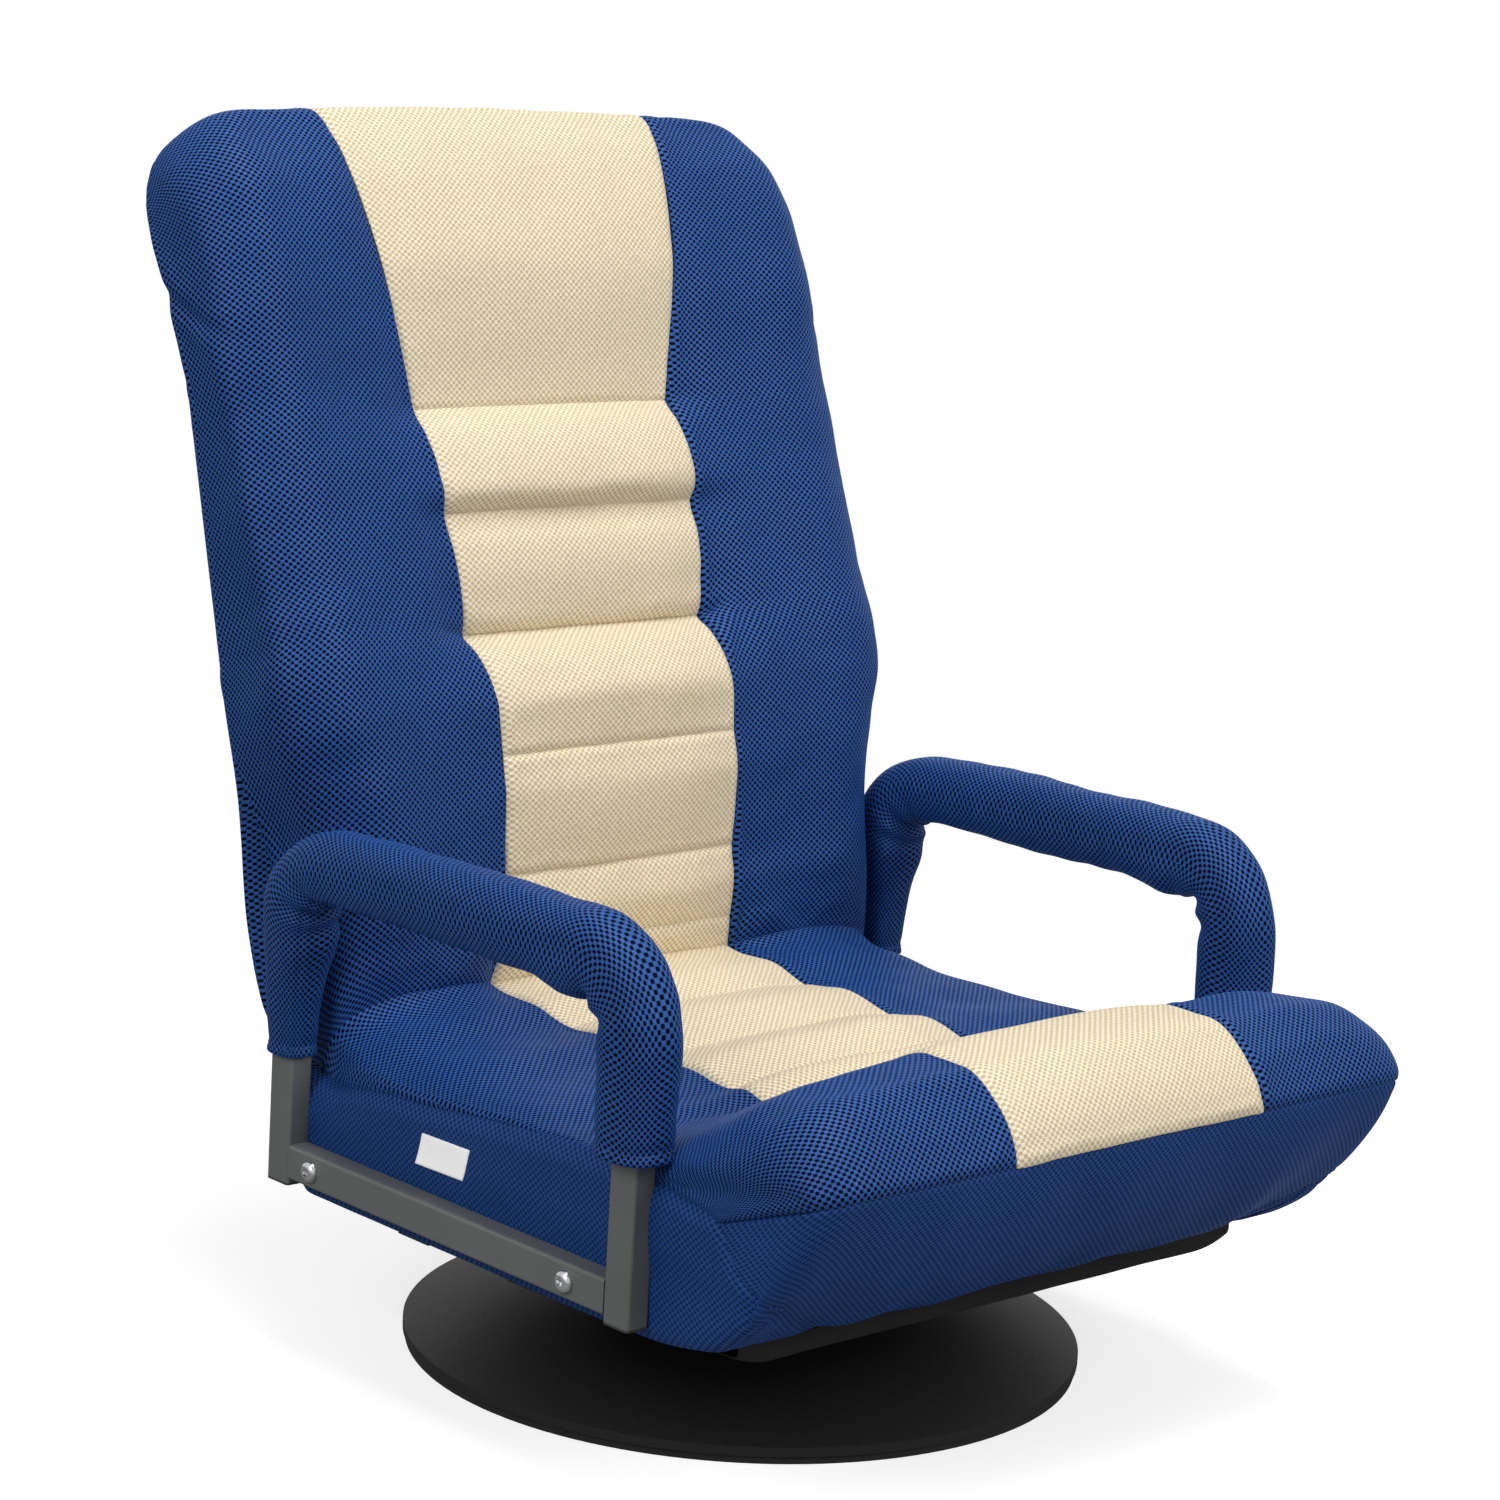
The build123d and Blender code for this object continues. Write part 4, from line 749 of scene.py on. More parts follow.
PANEL_FRONT = -284.0  # ends of a side panel, under the band and behind the hinge
PANEL_REAR = 170.0
PANEL_LIP = 34.0  # how far it goes on under the seat


def side_grid(side):
    """Grid of one side panel, from the side seam down over the rail and under the seat."""
    corner = [PANEL_FRONT, -279, -274, -269, -263, -257, -251, -246]
    y = np.concatenate([corner, np.linspace(-241, PANEL_REAR, PANEL_POINTS[0])])
    seams = {r[5][0]: r[5][1] for r in SEAT_ROWS}
    knots = sorted(seams)
    here = np.maximum(y, -274)
    heights = [153, 160, 171, 184, *[seams[k] for k in knots], 182]
    top = through([-274, -262, -252, -246, *knots, PANEL_REAR], heights, here)
    edge = through([-274, -243, -208, -180, 64, 98, 124, 150], [251, 253, 250, 249, 249, 246, 238, 234], here)
    foot = through([-274, -250, -231, -180, -100, 150], [140, 121, 111, 103.5, 102, 102], here)
    foot += 11 * ramp(-y, 270, 8)
    down = crowded(PANEL_POINTS[1], 0.5)
    grid = np.zeros((len(down), len(y), 3))
    # Each cross-section runs from the tuck under the wing down over the rail and under the seat, as (x, z).
    for j in range(len(y)):
        tall = max(top[j] - foot[j], 4.0)
        bend = min(9.0, tall * 0.4)
        tip = PANEL_LIP * max(ramp(y[j], PANEL_FRONT, 60), 0.1)
        under = ramp(-y[j], 241, 8)
        tuck = max(under, ramp(y[j], 96, 30))
        wall = [(edge[j] - 8 + tuck, top[j] + 8 * tuck), (edge[j] - 3, top[j] + 8 * under)]
        wall += [((edge[j] + SEAT_HALF) / 2 + 1.5 * (1 - under), top[j] - tall * 0.1)]
        wall += [(SEAT_HALF - 1.0, top[j] - tall * 0.3), (SEAT_HALF - 2.5, foot[j] + bend)]
        for a in np.linspace(0.25, 1, 4) * np.pi / 2:
            wall.append((SEAT_HALF - 2.5 - bend * (1 - np.cos(a)), foot[j] + bend * (1 - np.sin(a))))
        wall.append((SEAT_HALF - 2.5 - bend - tip, foot[j]))
        wall = np.array(wall)
        run = run_of(wall)
        grid[:, j, ::2] = points_at(wall, run, down * run[-1])
        grid[:, j, 1] = y[j]
    run = run_lengths(grid, 0)
    near = np.maximum(run - 12, 0)
    grid[..., 0] -= 7 * ramp(-y, 266, 10)
    turn = np.argmin(np.abs(grid[..., 2] - foot - 12), axis=0)
    level = np.take_along_axis(run + grid[..., 2], turn[None, :], axis=0)
    # Slack above the rail, and the rear end drawn in to the rear band.
    free = ramp(grid[..., 2], 146, 16) * (1 - bump(near, 14))
    grid[..., 0] += free * (2.2 + 1.6 * ripples(grid, 60, 41 + (side < 0)))
    uv = flat_map(y[None, :], run - level)
    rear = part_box("seat_rear_band")[1][1] / MM + 1
    past = np.maximum(grid[..., 1] - rear, 0)
    grid[..., 1] -= past * (1 - ease(ramp(grid[..., 2], 148, 26)))
    grid[..., 0] *= side
    return grid, uv


# Rear profile of the back from its top seam down and under: (s, n).
REAR_LINE = [
    (611, -21), (607, -33), (597, -42), (580, -48), (556, -51), (532, -48), (510, -41), (488, -33),
    (462, -30), (400, -30), (300, -31), (220, -31), (178, -33), (146, -39), (116, -47), (90, -51),
    (64, -49), (38, -43), (14, -35), (0, -26), (-6, -14), (-7, 0), (-4, 12),
]
# Half width of its middle part: (s, half).
REAR_WIDTHS = [(-10, 234), (0, 240), (40, 255), (140, 257), (200, 258), (240, 259), (530, 258), (576, 250), (620, 249)]


def rear_grid(looks):
    """Grid of the rear cover with its head roll and lower roll."""
    line = np.array(REAR_LINE, float)
    run = run_of(line)
    places = np.linspace(0, run[-1], REAR_POINTS[0])
    s = through(run, line[:, 0], places)
    n = through(run, line[:, 1], places)
    seam = np.array([(*r[5], r[3]) for r in BACK_ROWS], float)
    edge_s = np.clip(s, seam[0, 0], seam[-1, 0])
    edge_n = through(seam[:, 0], seam[:, 1], edge_s)
    half = through(seam[:, 0], seam[:, 2], edge_s)
    wide = through(*np.transpose(REAR_WIDTHS), s)
    across = 2 * crowded(REAR_POINTS[1], 0.75) - 1
    grid = np.zeros((len(places), len(across), 3))
    deep = (1 - np.abs(across) ** 7) ** (1 / 2.4)
    belly = ease(ramp(deep, 0, 0.45))
    grid[..., 0] = (half[:, None] + (wide - half)[:, None] * belly[None, :]) * across[None, :]
    here_s = edge_s[:, None] + (s - edge_s)[:, None] * deep[None, :]
    here_n = edge_n[:, None] + (n - edge_n)[:, None] * deep[None, :]
    # The top edge follows the last row of the wings.
    place, _, stripe, outer, power, corner = BACK_ROWS[-1]
    share = ramp(np.abs(grid[0, :, 0]), stripe, outer - stripe)
    fall = 1 - (1 - share**power) ** (1 / power)
    fade = bump(places, 45)[:, None]
    here_s += (place[0] + (corner[0] - place[0]) * fall - here_s[[0]]) * fade
    here_n += (place[1] + (corner[1] - place[1]) * fall - here_n[[0]]) * fade
    grid[..., 1], grid[..., 2] = on_back(here_s, here_n)
    beside = np.minimum(half[:, None] * (1 - np.abs(across)), places[:, None])
    calm = 1 - bump(beside, 24)
    lift = ripples(grid, 110, 51) * 2.0 * calm - looks.seam_depth * bump(beside, looks.seam_width)
    grid[..., 1] += lift * math.cos(LEAN)
    grid[..., 2] -= lift * math.sin(LEAN)
    uv = flat_map(grid[..., 0], places[:, None])
    # Side edges tucked in under the wings, and a hem along the top.
    tuck = np.array([0.0, -8.0 * math.cos(LEAN), 8.0 * math.sin(LEAN)])
    left = grid[:, [0]] + tuck + [7.0, 0, 0]
    right = grid[:, [-1]] + tuck - [7.0, 0, 0]
    grid = np.concatenate([left, grid, right], axis=1)
    uv = np.concatenate([uv[:, [0]] + [-11.0, 0], uv, uv[:, [-1]] + [11.0, 0]], axis=1)
    hem = grid[[0]] + tuck - np.array([0.0, math.sin(LEAN), math.cos(LEAN)]) * 6
    grid = np.concatenate([hem, grid], axis=0)
    uv = np.concatenate([uv[[0]] - [0, 10.0], uv], axis=0)
    return grid, uv


def arm_line(step):
    """Middle line of an arm's padded part as (y, z), from its rear end to its front end."""
    points = [(ARM_REAR, SLEEVE_ENDS[0])]
    corner = [(ARM_REAR - ARM_BEND, ARM_TOP - ARM_BEND, 0.0), (ARM_FRONT + ARM_BEND, ARM_TOP - ARM_BEND, 90.0)]
    for y, z, first in corner:
        for a in np.linspace(first, first + 90, 15):
            points.append((y + ARM_BEND * math.cos(math.radians(a)), z + ARM_BEND * math.sin(math.radians(a))))
    points.append((ARM_FRONT, SLEEVE_ENDS[1]))
    points = np.array(points)
    run = run_of(points)
    places = np.linspace(0, run[-1], int(run[-1] / step))
    return points_at(points, run, places), places


def sleeve_grid(side):
    """Grid of one arm's sewn sleeve: a padded tube with hems, a seam below and bunching inside its bends."""
    line, places = arm_line(SLEEVE_STEP)
    along = np.gradient(line, axis=0)
    along /= np.linalg.norm(along, axis=1)[:, None]
    out = np.stack([along[:, 1], -along[:, 0]], axis=1)
    ring = np.linspace(0, 2 * np.pi, SLEEVE_POINTS + 1)[:-1]
    power = 2.7
    cx = np.sign(np.cos(ring)) * np.abs(np.cos(ring)) ** (2 / power)
    co = np.sign(np.sin(ring)) * np.abs(np.sin(ring)) ** (2 / power)
    grid = np.zeros((len(places), len(ring), 3))
    total = places[-1]
    ends = np.minimum(places, total - places)
    # A bead at each hem, and a slimmer rear end.
    hem = 1.0 + 0.05 * bump(ends - 2.5, 2.5) - 0.06 * bump(ends - 8, 3)
    hem -= 0.05 * np.exp(-(ends / 60))
    hem *= 0.66 + 0.34 * ease(ramp(places, 12, 96))
    grid[..., 0] = ARM_X + SLEEVE_HALF[0] * hem[:, None] * cx[None, :]
    reach = SLEEVE_HALF[1] * hem[:, None] * co[None, :]
    grid[..., 1:] = line[:, None, :] + out[:, None, :] * reach[..., None]
    normal = np.zeros_like(grid)
    normal[..., 0] = cx[None, :]
    normal[..., 1:] = out[:, None, :] * co[None, :, None]
    normal /= np.linalg.norm(normal, axis=2)[..., None]
    inner = np.clip(-co, 0, 1)[None, :] ** 1.2
    # Less padding over the rear bend, and slack cloth inside both bends, gathered in small folds.
    fold = -4.0 * bump(places - 135, 60)[:, None] * np.clip(co, 0, 1)[None, :]
    fold += 6.0 * bump(places - 78, 22)[:, None] * inner
    fold += 6.0 * bump(places - (total - 146), 20)[:, None] * inner
    for middle, pitch in ((120, 4.4), (total - 102, 5.4)):
        gathers = np.sin((places[:, None] - middle) / pitch + 1.6 * cx[None, :]) * 3.0 - 1.0
        fold += bump(places - middle, 34)[:, None] * inner * gathers
    other = side < 0
    wave = ripples(grid, 52, 61 + other) * 0.9 + ripples(grid, 24, 63 + other) * 0.35
    seam = bump(ring - 1.5 * np.pi - 0.5, 0.07)[None, :]
    calm = ramp(ends, 0, 20)[:, None]
    grid += normal * (fold + wave * calm - 1.6 * seam)[..., None]
    around = np.linspace(0, 1, len(ring) + 1) * SLEEVE_GIRTH
    uv = flat_map(around[None, :], places[:, None])
    grid[..., 0] *= side
    return grid, uv


def rear_band_grid():
    """Grid of the narrow band behind the seat, a little full between its edges."""
    low, high = corners_mm(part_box("seat_rear_band"))
    grid = np.zeros((12, 60, 3))
    rows, columns, _ = grid.shape
    grid[..., 0] = np.linspace(low[0], high[0], columns)[None, :]
    grid[..., 2] = np.linspace(high[2], low[2], rows)[:, None]
    belly = np.sin(np.linspace(0, np.pi, rows))[:, None] ** 0.6
    grid[..., 1] = high[1] - 4 + 4 * belly + ripples(grid, 60, 71) * belly
    return grid, grid[..., [0, 2]]


def lining_grid():
    """Grid of the lining under the seat, and its faces that are left out for the swivel plate."""
    low, high = corners_mm(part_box("seat_dust_cover"))
    turned_up = 5  # rows at the front that stand up
    level = 90
    y = np.concatenate([[low[1]] * turned_up, np.linspace(low[1] + 4, high[1], level)])
    rise = np.concatenate([np.linspace(14, 1, turned_up), np.zeros(level)])
    grid = np.zeros((len(y), 100, 3))
    grid[..., 0] = np.linspace(low[0], high[0], grid.shape[1])[None, :]
    grid[..., 1] = y[:, None]
    slack = np.clip(np.abs(np.hypot(grid[..., 0], grid[..., 1]) / 100 - 1) * 1.2, 0, 1)
    hem = ramp(np.abs(grid[..., 0]), 184, 30) ** 2 + ramp(grid[..., 1], high[1] - 24, 24) ** 2
    sag = 1.5 - 1.5 * slack + 0.6 * ripples(grid, 50, 81)
    grid[..., 2] = low[2] + rise[:, None] + sag + 7.0 * np.minimum(hem, 1)
    middles = (grid[:-1, :-1, :2] + grid[1:, 1:, :2]) / 2
    return grid, grid[..., :2], (np.abs(middles) < SWIVEL_OPENING / 2).all(axis=2)


def label_grid():
    """Grid of the blank label, sewn in at its upper end and hanging on the right side panel."""
    low, high = corners_mm(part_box("seat_blank_tag"))
    grid = np.zeros((14, 24, 3))
    rows, columns, _ = grid.shape
    y = np.linspace(low[1], high[1], columns)
    z = np.linspace(high[2], low[2], rows)
    down = (high[2] - z)[:, None] / (high[2] - low[2])
    grid[..., 1] = y[None, :] + 7.0 * down - 8.5
    grid[..., 2] = z[:, None] - 1.0 * (y[None, :] - y[0]) / (y[-1] - y[0]) + 0.5
    panel, _ = side_grid(-1)
    wall = panel[18:2:-1, np.argmin(np.abs(panel[0, :, 1] - y.mean()))]
    grid[..., 0] = np.interp(grid[..., 2], wall[:, 2], wall[:, 0]) - LABEL_LIFT - 1.5 * down**2
    return grid, grid[..., 1:]


# Geometry nodes


def stitch_tree():
    """Node tree that lays thread stitches along the edges of a mesh."""
    tree = bpy.data.node_groups.new("stitch_row", "GeometryNodeTree")
    tree.interface.new_socket("Geometry", in_out="INPUT", socket_type="NodeSocketGeometry")
    for label, value in (("Pitch", 0.0045), ("Thread", 0.0006), ("Stretch", 2.4)):
        socket = tree.interface.new_socket(label, in_out="INPUT", socket_type="NodeSocketFloat")
        socket.default_value = value
    tree.interface.new_socket("Finish", in_out="INPUT", socket_type="NodeSocketMaterial")
    tree.interface.new_socket("Geometry", in_out="OUTPUT", socket_type="NodeSocketGeometry")
    given = add(tree, "NodeGroupInput")
    curve = add(tree, "GeometryNodeMeshToCurve", {"Mesh": given.outputs["Geometry"]})
    steps = {"Curve": curve.outputs[0], "Length": given.outputs["Pitch"]}
    even = add(tree, "GeometryNodeResampleCurve", steps, mode="LENGTH")
    tangent = add(tree, "GeometryNodeInputTangent")
    turn = add(tree, "FunctionNodeAlignRotationToVector", {"Vector": tangent.outputs[0]}, axis="Z")
    bead = add(tree, "GeometryNodeMeshUVSphere", {"Segments": 6, "Rings": 4, "Radius": given.outputs["Thread"]})
    scale = add(tree, "ShaderNodeCombineXYZ", {"X": 1.0, "Y": 1.0, "Z": given.outputs["Stretch"]})
    long = add(tree, "GeometryNodeTransform", {"Geometry": bead.outputs["Mesh"], "Scale": scale.outputs[0]})
    beads = {"Points": even.outputs[0], "Instance": long.outputs[0], "Rotation": turn.outputs[0]}
    rows = add(tree, "GeometryNodeInstanceOnPoints", beads)
    real = add(tree, "GeometryNodeRealizeInstances", {"Geometry": rows.outputs[0]})
    painted = add(tree, "GeometryNodeSetMaterial", {"Geometry": real.outputs[0], "Material": given.outputs["Finish"]})
    add(tree, "NodeGroupOutput", {"Geometry": painted.outputs[0]})
    return tree


def stitched(name, lines, finish, pitch):
    """Object of stitch rows along lines of points in mm."""
    points = []
    edges = []
    for line in lines:
        first = len(points)
        points.extend((np.asarray(line) * MM).tolist())
        edges.extend((first + i, first + i + 1) for i in range(len(line) - 1))
    mesh = bpy.data.meshes.new(name)
    mesh.from_pydata(points, edges, [])
    obj = new_object(name, mesh)
    tree = bpy.data.node_groups.get("stitch_row") or stitch_tree()
    rows = obj.modifiers.new("rows", "NODES")
    rows.node_group = tree
    sockets = {s.name: s.identifier for s in tree.interface.items_tree if s.in_out == "INPUT"}
    rows[sockets["Pitch"]] = pitch
    rows[sockets["Finish"]] = finish
    return settle(obj)


def colour_setting(name, description, text):
    return bpy.props.FloatVectorProperty(name=name, description=description, subtype="COLOR", default=hexcolour(text))


def size_setting(name, description, value, unit="NONE"):
    return bpy.props.FloatProperty(name=name, description=description, default=value, unit=unit)


class ChairLooks(bpy.types.PropertyGroup):
    """Sizes and colours of the upholstery."""

    blue_thread: colour_setting("Blue Thread", "Filament colour of the blue mesh", "#27549c")
    blue_cell: colour_setting("Blue Cell", "Colour in the holes of the blue mesh", "#030b1e")
    band_thread: colour_setting("Band Thread", "Yarn colour of the plainer blue cloth", "#20498d")
    band_cell: colour_setting("Band Cell", "Colour between the yarns of the plainer blue cloth", "#153468")
    cream_thread: colour_setting("Cream Thread", "Filament colour of the cream mesh", "#f5e9d0")
    cream_cell: colour_setting("Cream Cell", "Colour in the holes of the cream mesh", "#d0bc95")
    arm_grey: colour_setting("Arm Grey", "Powder coat of the arms", "#6a6d6c")
    base_black: colour_setting("Base Black", "Powder coat of the base", "#0d0d0f")
    cell_width: size_setting("Cell Width", "Spacing of the mesh holes across", 0.0047, "LENGTH")
    cell_height: size_setting("Cell Height", "Spacing of the mesh holes along", 0.0043, "LENGTH")
    seam_width: size_setting("Seam Width", "Half width of a sewn groove, mm", 2.6)
    seam_depth: size_setting("Seam Depth", "Depth of a sewn groove, mm", 3.0)
    shoulder: size_setting("Shoulder", "How soon a wing rises from its seam, mm", 24.0)
    wing_crown: size_setting("Wing Crown", "Fullness of the blue wings, mm", 7.0)
    pad_crown: size_setting("Pad Crown", "Fullness of the cream channels, mm", 5.0)


class ChairOperator:
    """Shared by the chair's operators."""

    bl_options = {"REGISTER", "UNDO"}

    def execute(self, context):
        self.make(context.scene.chair_looks)
        return {"FINISHED"}


class CHAIR_OT_wings(ChairOperator, bpy.types.Operator):
    """Sew the blue wings, which run from the seat's nose up to the top of the back"""

    bl_idname = "chair.wings"
    bl_label = "Blue Wings"

    def make(self, looks):
        for side, name in SIDES:
            nodes = [f"seat_bolster_{name}", f"back_bolster_{name}"]
            cut = {"flip": side > 0, "stuffing": WING_STUFFING}
            sew(f"wing_{name}", wing_grid(looks, side), blue_mesh(looks), "crease", "mesh_blue", nodes, **cut)


class CHAIR_OT_stripe(ChairOperator, bpy.types.Operator):
    """Sew the cream panels of the middle stripe"""

    bl_idname = "chair.stripe"
    bl_label = "Cream Stripe"

    def make(self, looks):
        seat = [PROFILE.seat_knot(k) for k in SEAT_SEAMS]
        back = [PROFILE.back_knot(k) for k in BACK_SEAMS]
        cream = cream_mesh(looks)
        crown = looks.pad_crown

        def panel(name, start, end, seams, full, base, body, nodes=()):
            *cloth, sewn = stripe_grid(looks, start, end, seams, full, base)
            sew(name, cloth, cream, body, "mesh_cream", nodes, flip=True, stuffing=CREAM_STUFFING, sewn=sewn)

        panel("front_roll", 0.0, seat[0], [], 3.0, 2.0, "seat", ["seat_front_roll", "seat_nose_foam"])
        nodes = ["seat_channel_pads", "seat_foam", "seat_webbing"]
        panel("seat_channels", seat[0], seat[3], seat, crown * 0.6, 5.5, "seat", nodes)
        panel("crease_channels", seat[3], back[0], [PROFILE.back_knot(0)], crown * 0.6, 3.0, "crease")
        nodes = ["back_channel_pads", "back_foam", "back_webbing"]
        panel("back_channels", back[0], back[5], back, crown, 1.5, "back", nodes)
        panel("headrest", back[5], PROFILE.length, [], crown, 1.5, "back", ["back_headrest_pad"])


class CHAIR_OT_covers(ChairOperator, bpy.types.Operator):
    """Sew the front band, the side panels, the rear cover and the rear band"""

    bl_idname = "chair.covers"
    bl_label = "Blue Covers"

    def make(self, looks):
        blue = blue_mesh(looks)
        plain = blue_cloth(looks)
        sew("front_band", band_grid(looks), plain, "seat", "mesh_blue", ["seat_front_band"], flip=True)
        for side, name in SIDES:
            nodes = [f"seat_side_band_{name}"]
            sew(f"side_panel_{name}", side_grid(side), plain, "seat", "mesh_blue", nodes, flip=side < 0)
        sew("rear_cover", rear_grid(looks), blue, "back", "mesh_blue", ["back_rear_cover"])
        sew("rear_band", rear_band_grid(), blue, "seat", "mesh_blue", ["seat_rear_band"])


class CHAIR_OT_sleeves(ChairOperator, bpy.types.Operator):
    """Sew the padded sleeves of the arms"""

    bl_idname = "chair.sleeves"
    bl_label = "Arm Sleeves"

    def make(self, looks):
        for side, name in SIDES:
            nodes = [f"arm_sleeve_{name}", f"arm_foam_{name}"]
            cut = {"flip": side < 0, "closed": True}
            sew(f"arm_cover_{name}", sleeve_grid(side), blue_mesh(looks), "seat", "mesh_blue", nodes, **cut)


class CHAIR_OT_lining(ChairOperator, bpy.types.Operator):
    """Lay the black lining under the seat and the blank label on its side"""

    bl_idname = "chair.lining"
    bl_label = "Lining and Label"

    def make(self, looks):
        black = coated("black_nonwoven", hexcolour("#0b0b0c"), 0.85, 0.0012, 0.0004)  # dull cloth that stays dark
        *cloth, hole = lining_grid()
        cut = {"thickness": 1.0, "left_open": hole}
        lining = sew("seat_lining", cloth, black, "seat", "lining_black", ["seat_dust_cover"], None, **cut)
        # Painted light: the white label glows a little of its own, so it reads white although it faces away from the
        # lamps.
        white = coated("white_woven_label", hexcolour("#ffffff"), 0.8, 0.0009, 0.0001)
        glow = {"Emission Color": WHITE, "Emission Strength": 0.25}
        feed(white.node_tree, white.node_tree.nodes["Principled BSDF"], glow)
        cut = {"thickness": 0.7, "flip": True, "rounds": 0}
        tag = sew("blank_label", label_grid(), white, "seat", "tag_white", ["seat_blank_tag"], None, **cut)


class CHAIR_OT_stitches(ChairOperator, bpy.types.Operator):
    """Stitch the sleeve hems"""

    bl_idname = "chair.stitches"
    bl_label = "Stitches"

    def make(self, looks):
        # A little lighter than the sleeve, so the hem's row of stitches can be seen.
        thread = coated("blue_polyester_thread", hexcolour("#28457c"), 0.55, 0.0006, 0.0001)
        lines = []
        for side, _ in SIDES:
            grid, _ = sleeve_grid(side)
            for row in (2, -3):
                ring = grid[row]
                middle = ring.mean(axis=0)
                ring = middle + (ring - middle) * 1.012
                lines.append(np.vstack([ring, ring[:1]]))
        rows = stitched("hem_stitches", lines, thread, STITCH_PITCH)
        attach(rows, "seat")


class CHAIR_OT_hardware(ChairOperator, bpy.types.Operator):
    """Finish the steel, plastic and rubber parts"""

    bl_idname = "chair.hardware"
    bl_label = "Hardware Finishes"

    def make(self, looks):
        finishes = {
            "base_black": coated("black_powder_coat", tuple(looks.base_black), 0.62, 0.0012, 0.0002),  # satin black
            "foot_rubber": coated("black_rubber", hexcolour("#161616"), 0.75, 0.002, 0.0003),  # dull and matt
            "zinc_steel": plated("zinc_plated_steel", hexcolour("#b4b6b8"), 0.35),  # grey metal
            "nylon": coated("natural_nylon", hexcolour("#d8d4c6"), 0.5, 0.003, 0.0001),  # milky plastic
            "frame_black": coated("black_tube_coat", hexcolour("#151517"), 0.45, 0.0012, 0.0002),  # half-gloss black
            "arm_grey": coated("grey_powder_coat", tuple(looks.arm_grey), 0.48, 0.0011, 0.00015),  # even grey
            "screw_silver": plated("nickel_plate", hexcolour("#d2d3d5"), 0.2),  # bright metal
            "plug_black": coated("black_moulded_plastic", hexcolour("#3a3b3c"), 0.5, 0.002, 0.0001),  # greyed black
        }
        slots = {s["node"]: s["material_slot"] for s in frame["record"]["subparts"]}
        for name, obj in NODES.items():
            finish = finishes.get(slots[name])
            if finish:
                obj.data.materials.clear()
                obj.data.materials.append(finish)


def cleared(owner):
    """Empty node tree of a world or material."""
    owner.use_nodes = True
    owner.node_tree.nodes.clear()
    return owner.node_tree


def blended(tree, factor, first, second):
    """Mix of two shaders."""
    return add(tree, "ShaderNodeMixShader", {0: factor, 1: first.outputs[0], 2: second.outputs[0]})


def studio_world():
    """Even white room: plain white to the camera, dim as a light, brighter in reflections."""
    world = bpy.data.worlds.new("studio")
    tree = cleared(world)
    path = add(tree, "ShaderNodeLightPath").outputs
    seen = maths(tree, "MAXIMUM", path["Is Camera Ray"], path["Is Transmission Ray"])
    strength = remap(tree, path["Is Glossy Ray"], 0.27, 0.8)
    fill = add(tree, "ShaderNodeBackground", {"Color": WHITE, "Strength": strength})
    white = add(tree, "ShaderNodeBackground", {"Color": WHITE, "Strength": 1.0})
    add(tree, "ShaderNodeOutputWorld", {"Surface": blended(tree, seen, fill, white).outputs[0]})
    return world


def studio_floor():
    """White paper floor: it keeps the shadow near the chair, fades to white and throws little light back."""
    material = bpy.data.materials.new("studio_floor")
    tree = cleared(material)
    path = add(tree, "ShaderNodeLightPath").outputs
    paper = add(tree, "ShaderNodeBsdfDiffuse", {"Color": (0.8, 0.8, 0.8, 1)})
    dull = add(tree, "ShaderNodeBsdfDiffuse", {"Color": (0.3, 0.3, 0.3, 1)})
    glow = add(tree, "ShaderNodeEmission", {"Color": WHITE, "Strength": 0.63})
    white = add(tree, "ShaderNodeEmission", {"Color": WHITE, "Strength": 1.0})
    near = add(tree, "ShaderNodeAddShader", {0: paper.outputs[0], 1: glow.outputs[0]})
    spot = add(tree, "ShaderNodeTexCoord")
    reach = add(tree, "ShaderNodeVectorMath", {0: spot.outputs["Object"]}, operation="LENGTH")
    far = remap(tree, reach.outputs["Value"], 0.0, 1.0, 0.7, 1.5, interpolation_type="SMOOTHSTEP")
    shown = blended(tree, far, near, white)
    both = blended(tree, path["Is Camera Ray"], dull, shown)
    add(tree, "ShaderNodeOutputMaterial", {"Surface": both.outputs[0]})
    mesh = bpy.data.meshes.new("studio_floor")
    wide = 9.0
    mesh.from_pydata([(-wide, -wide, 0), (wide, -wide, 0), (wide, wide, 0), (-wide, wide, 0)], [], [(0, 1, 2, 3)])
    mesh.materials.append(material)
    return new_object("studio_floor", mesh)


# Each lamp: name, place, size across and power.
LAMPS = (
    ("left", (-2.9, -0.6, 2.2), 1.6, 40.0),
    ("top", (0.0, -0.4, 3.2), 1.8, 46.0),
    ("front", (0.8, -2.9, 2.0), 1.8, 40.0),
)
LAMP_AIM = Vector((0.0, 0.0, 0.36))
# Camera fitted to the photograph: degrees round, up and tilted, then metres to the right, up and away.
CAMERA_TURN = (-43.032, 11.067, 3.3155)
CAMERA_PLACE = (-0.015684, 0.39261, 2.53794)


def studio_lamps():
    """Disk lamps that face the chair."""
    for name, place, size, power in LAMPS:
        data = bpy.data.lights.new(name, "AREA")
        data.shape = "DISK"
        data.size = size
        data.energy = power
        lamp = new_object(name, data)
        lamp.location = place
        lamp.rotation_euler = (LAMP_AIM - Vector(place)).to_track_quat("-Z", "Y").to_euler()


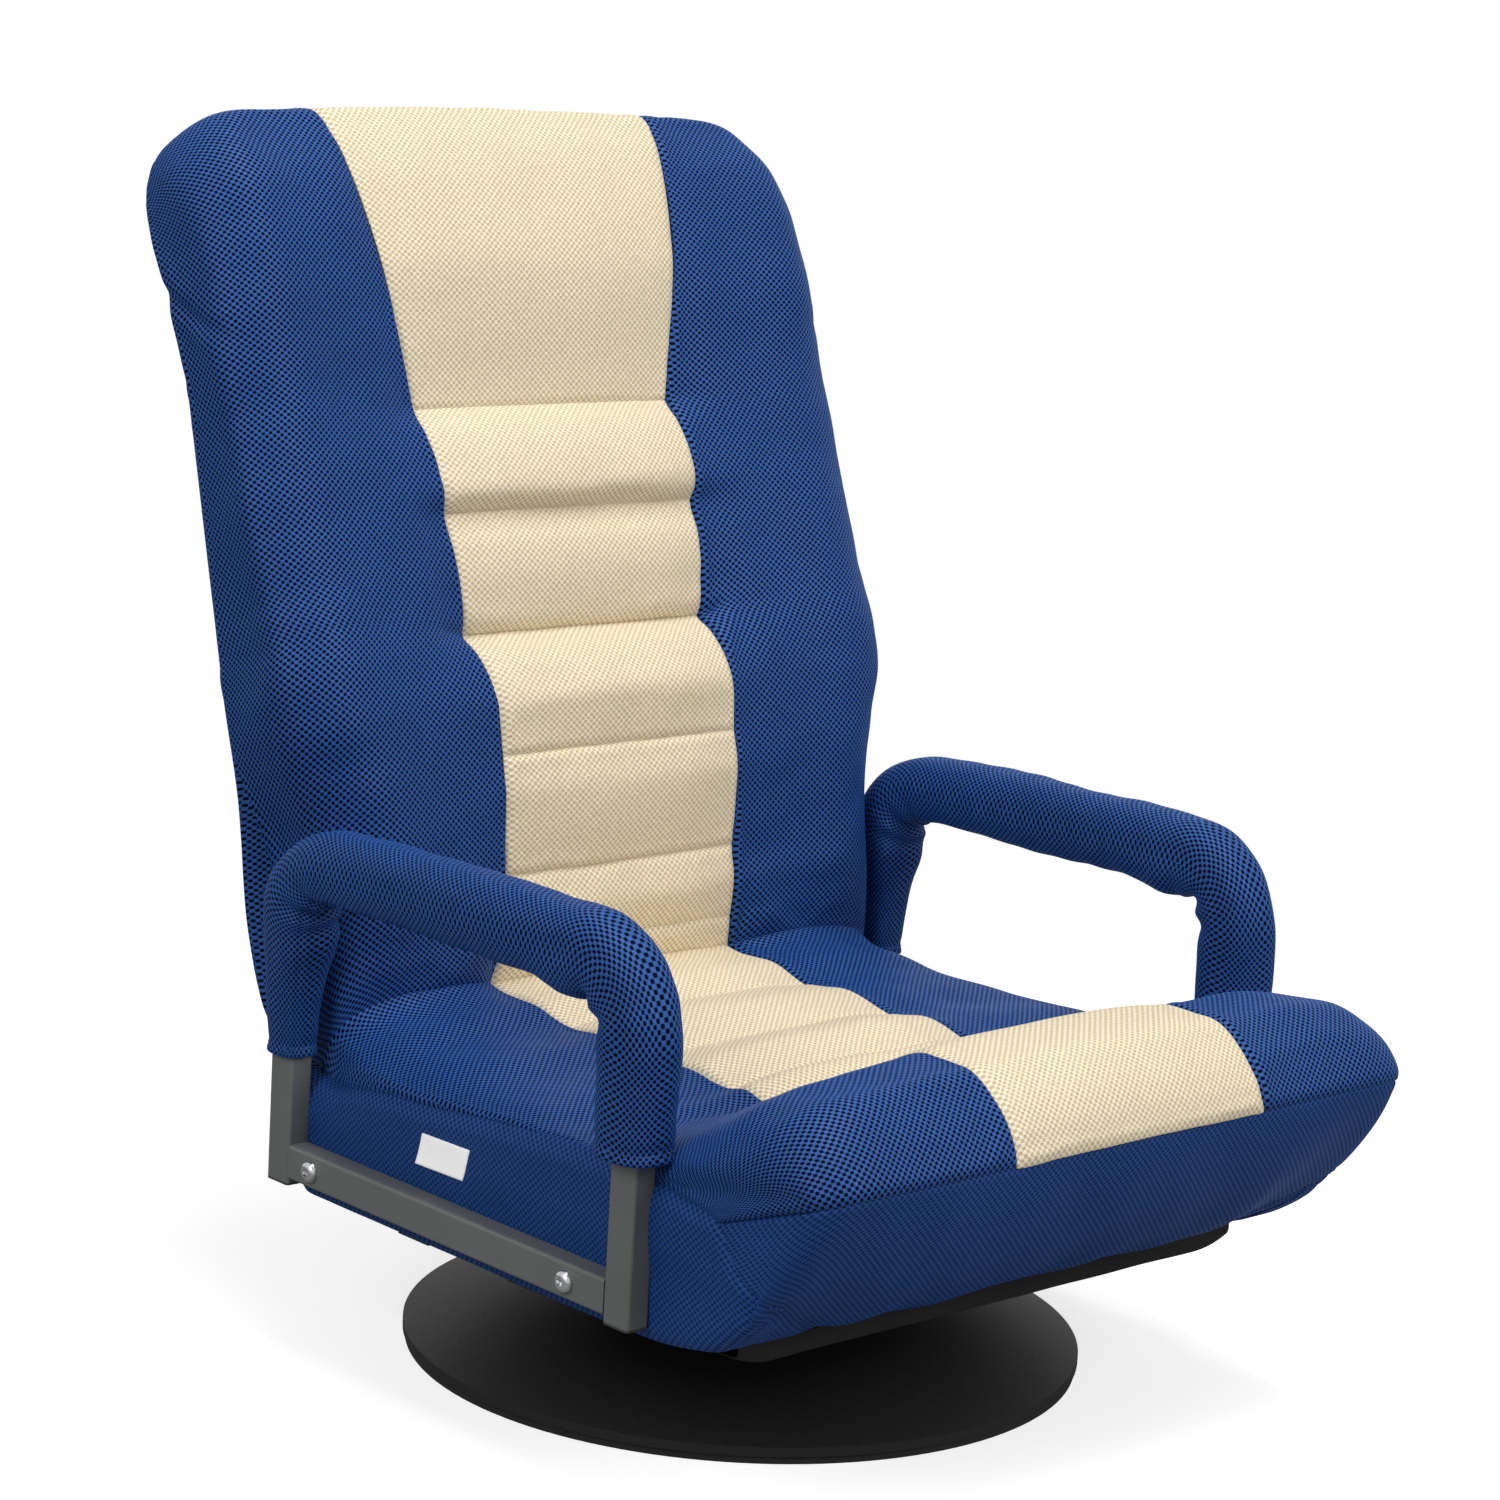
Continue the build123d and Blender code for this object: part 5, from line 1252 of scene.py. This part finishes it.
def studio_camera():
    """Camera at the photograph's angle."""
    azimuth, height, roll = (math.radians(a) for a in CAMERA_TURN)
    shift, level, distance = CAMERA_PLACE
    right = Vector((math.cos(azimuth), math.sin(azimuth), 0))
    back = Vector((math.sin(azimuth) * math.cos(height), -math.cos(azimuth) * math.cos(height), math.sin(height)))
    target = right * shift + Vector((0, 0, level))
    up = back.cross(right)
    across = right * math.cos(roll) + up * math.sin(roll)
    upright = up * math.cos(roll) - right * math.sin(roll)
    data = bpy.data.cameras.new("camera")
    data.sensor_width = 36.0
    data.lens = 96.0
    camera = new_object("camera", data)
    turned = Matrix((across, upright, back)).transposed().to_4x4()
    camera.matrix_world = Matrix.Translation(target + back * distance) @ turned
    return camera


class CHAIR_OT_stage(ChairOperator, bpy.types.Operator):
    """Set the floor, the studio light and the camera"""

    bl_idname = "chair.stage"
    bl_label = "Studio"

    def make(self, looks):
        scene = bpy.context.scene
        scene.view_settings.view_transform = "Standard"
        scene.world = studio_world()
        ground = studio_floor()
        studio_lamps()
        scene.camera = studio_camera()


class CHAIR_PT_panel(bpy.types.Panel):
    """Sizes, colours and steps of the chair"""

    bl_idname = "CHAIR_PT_panel"
    bl_label = "Floor Chair"
    bl_space_type = "VIEW_3D"
    bl_region_type = "UI"
    bl_category = "Chair"

    def draw(self, context):
        looks = context.scene.chair_looks
        for name in ChairLooks.__annotations__:
            self.layout.prop(looks, name)
        for operator in STEPS:
            self.layout.operator(operator.bl_idname)


STEPS = (
    CHAIR_OT_hardware,
    CHAIR_OT_wings,
    CHAIR_OT_stripe,
    CHAIR_OT_covers,
    CHAIR_OT_sleeves,
    CHAIR_OT_lining,
    CHAIR_OT_stitches,
    CHAIR_OT_stage,
)
CLASSES = (ChairLooks, *STEPS, CHAIR_PT_panel)


def register():
    for cls in CLASSES:
        bpy.utils.register_class(cls)
    bpy.types.Scene.chair_looks = bpy.props.PointerProperty(type=ChairLooks)


def unregister():
    del bpy.types.Scene.chair_looks
    for cls in reversed(CLASSES):
        bpy.utils.unregister_class(cls)


def main():
    register()
    for operator in STEPS:
        group, name = operator.bl_idname.split(".")
        getattr(getattr(bpy.ops, group), name)()


if __name__ == "__main__":
    main()
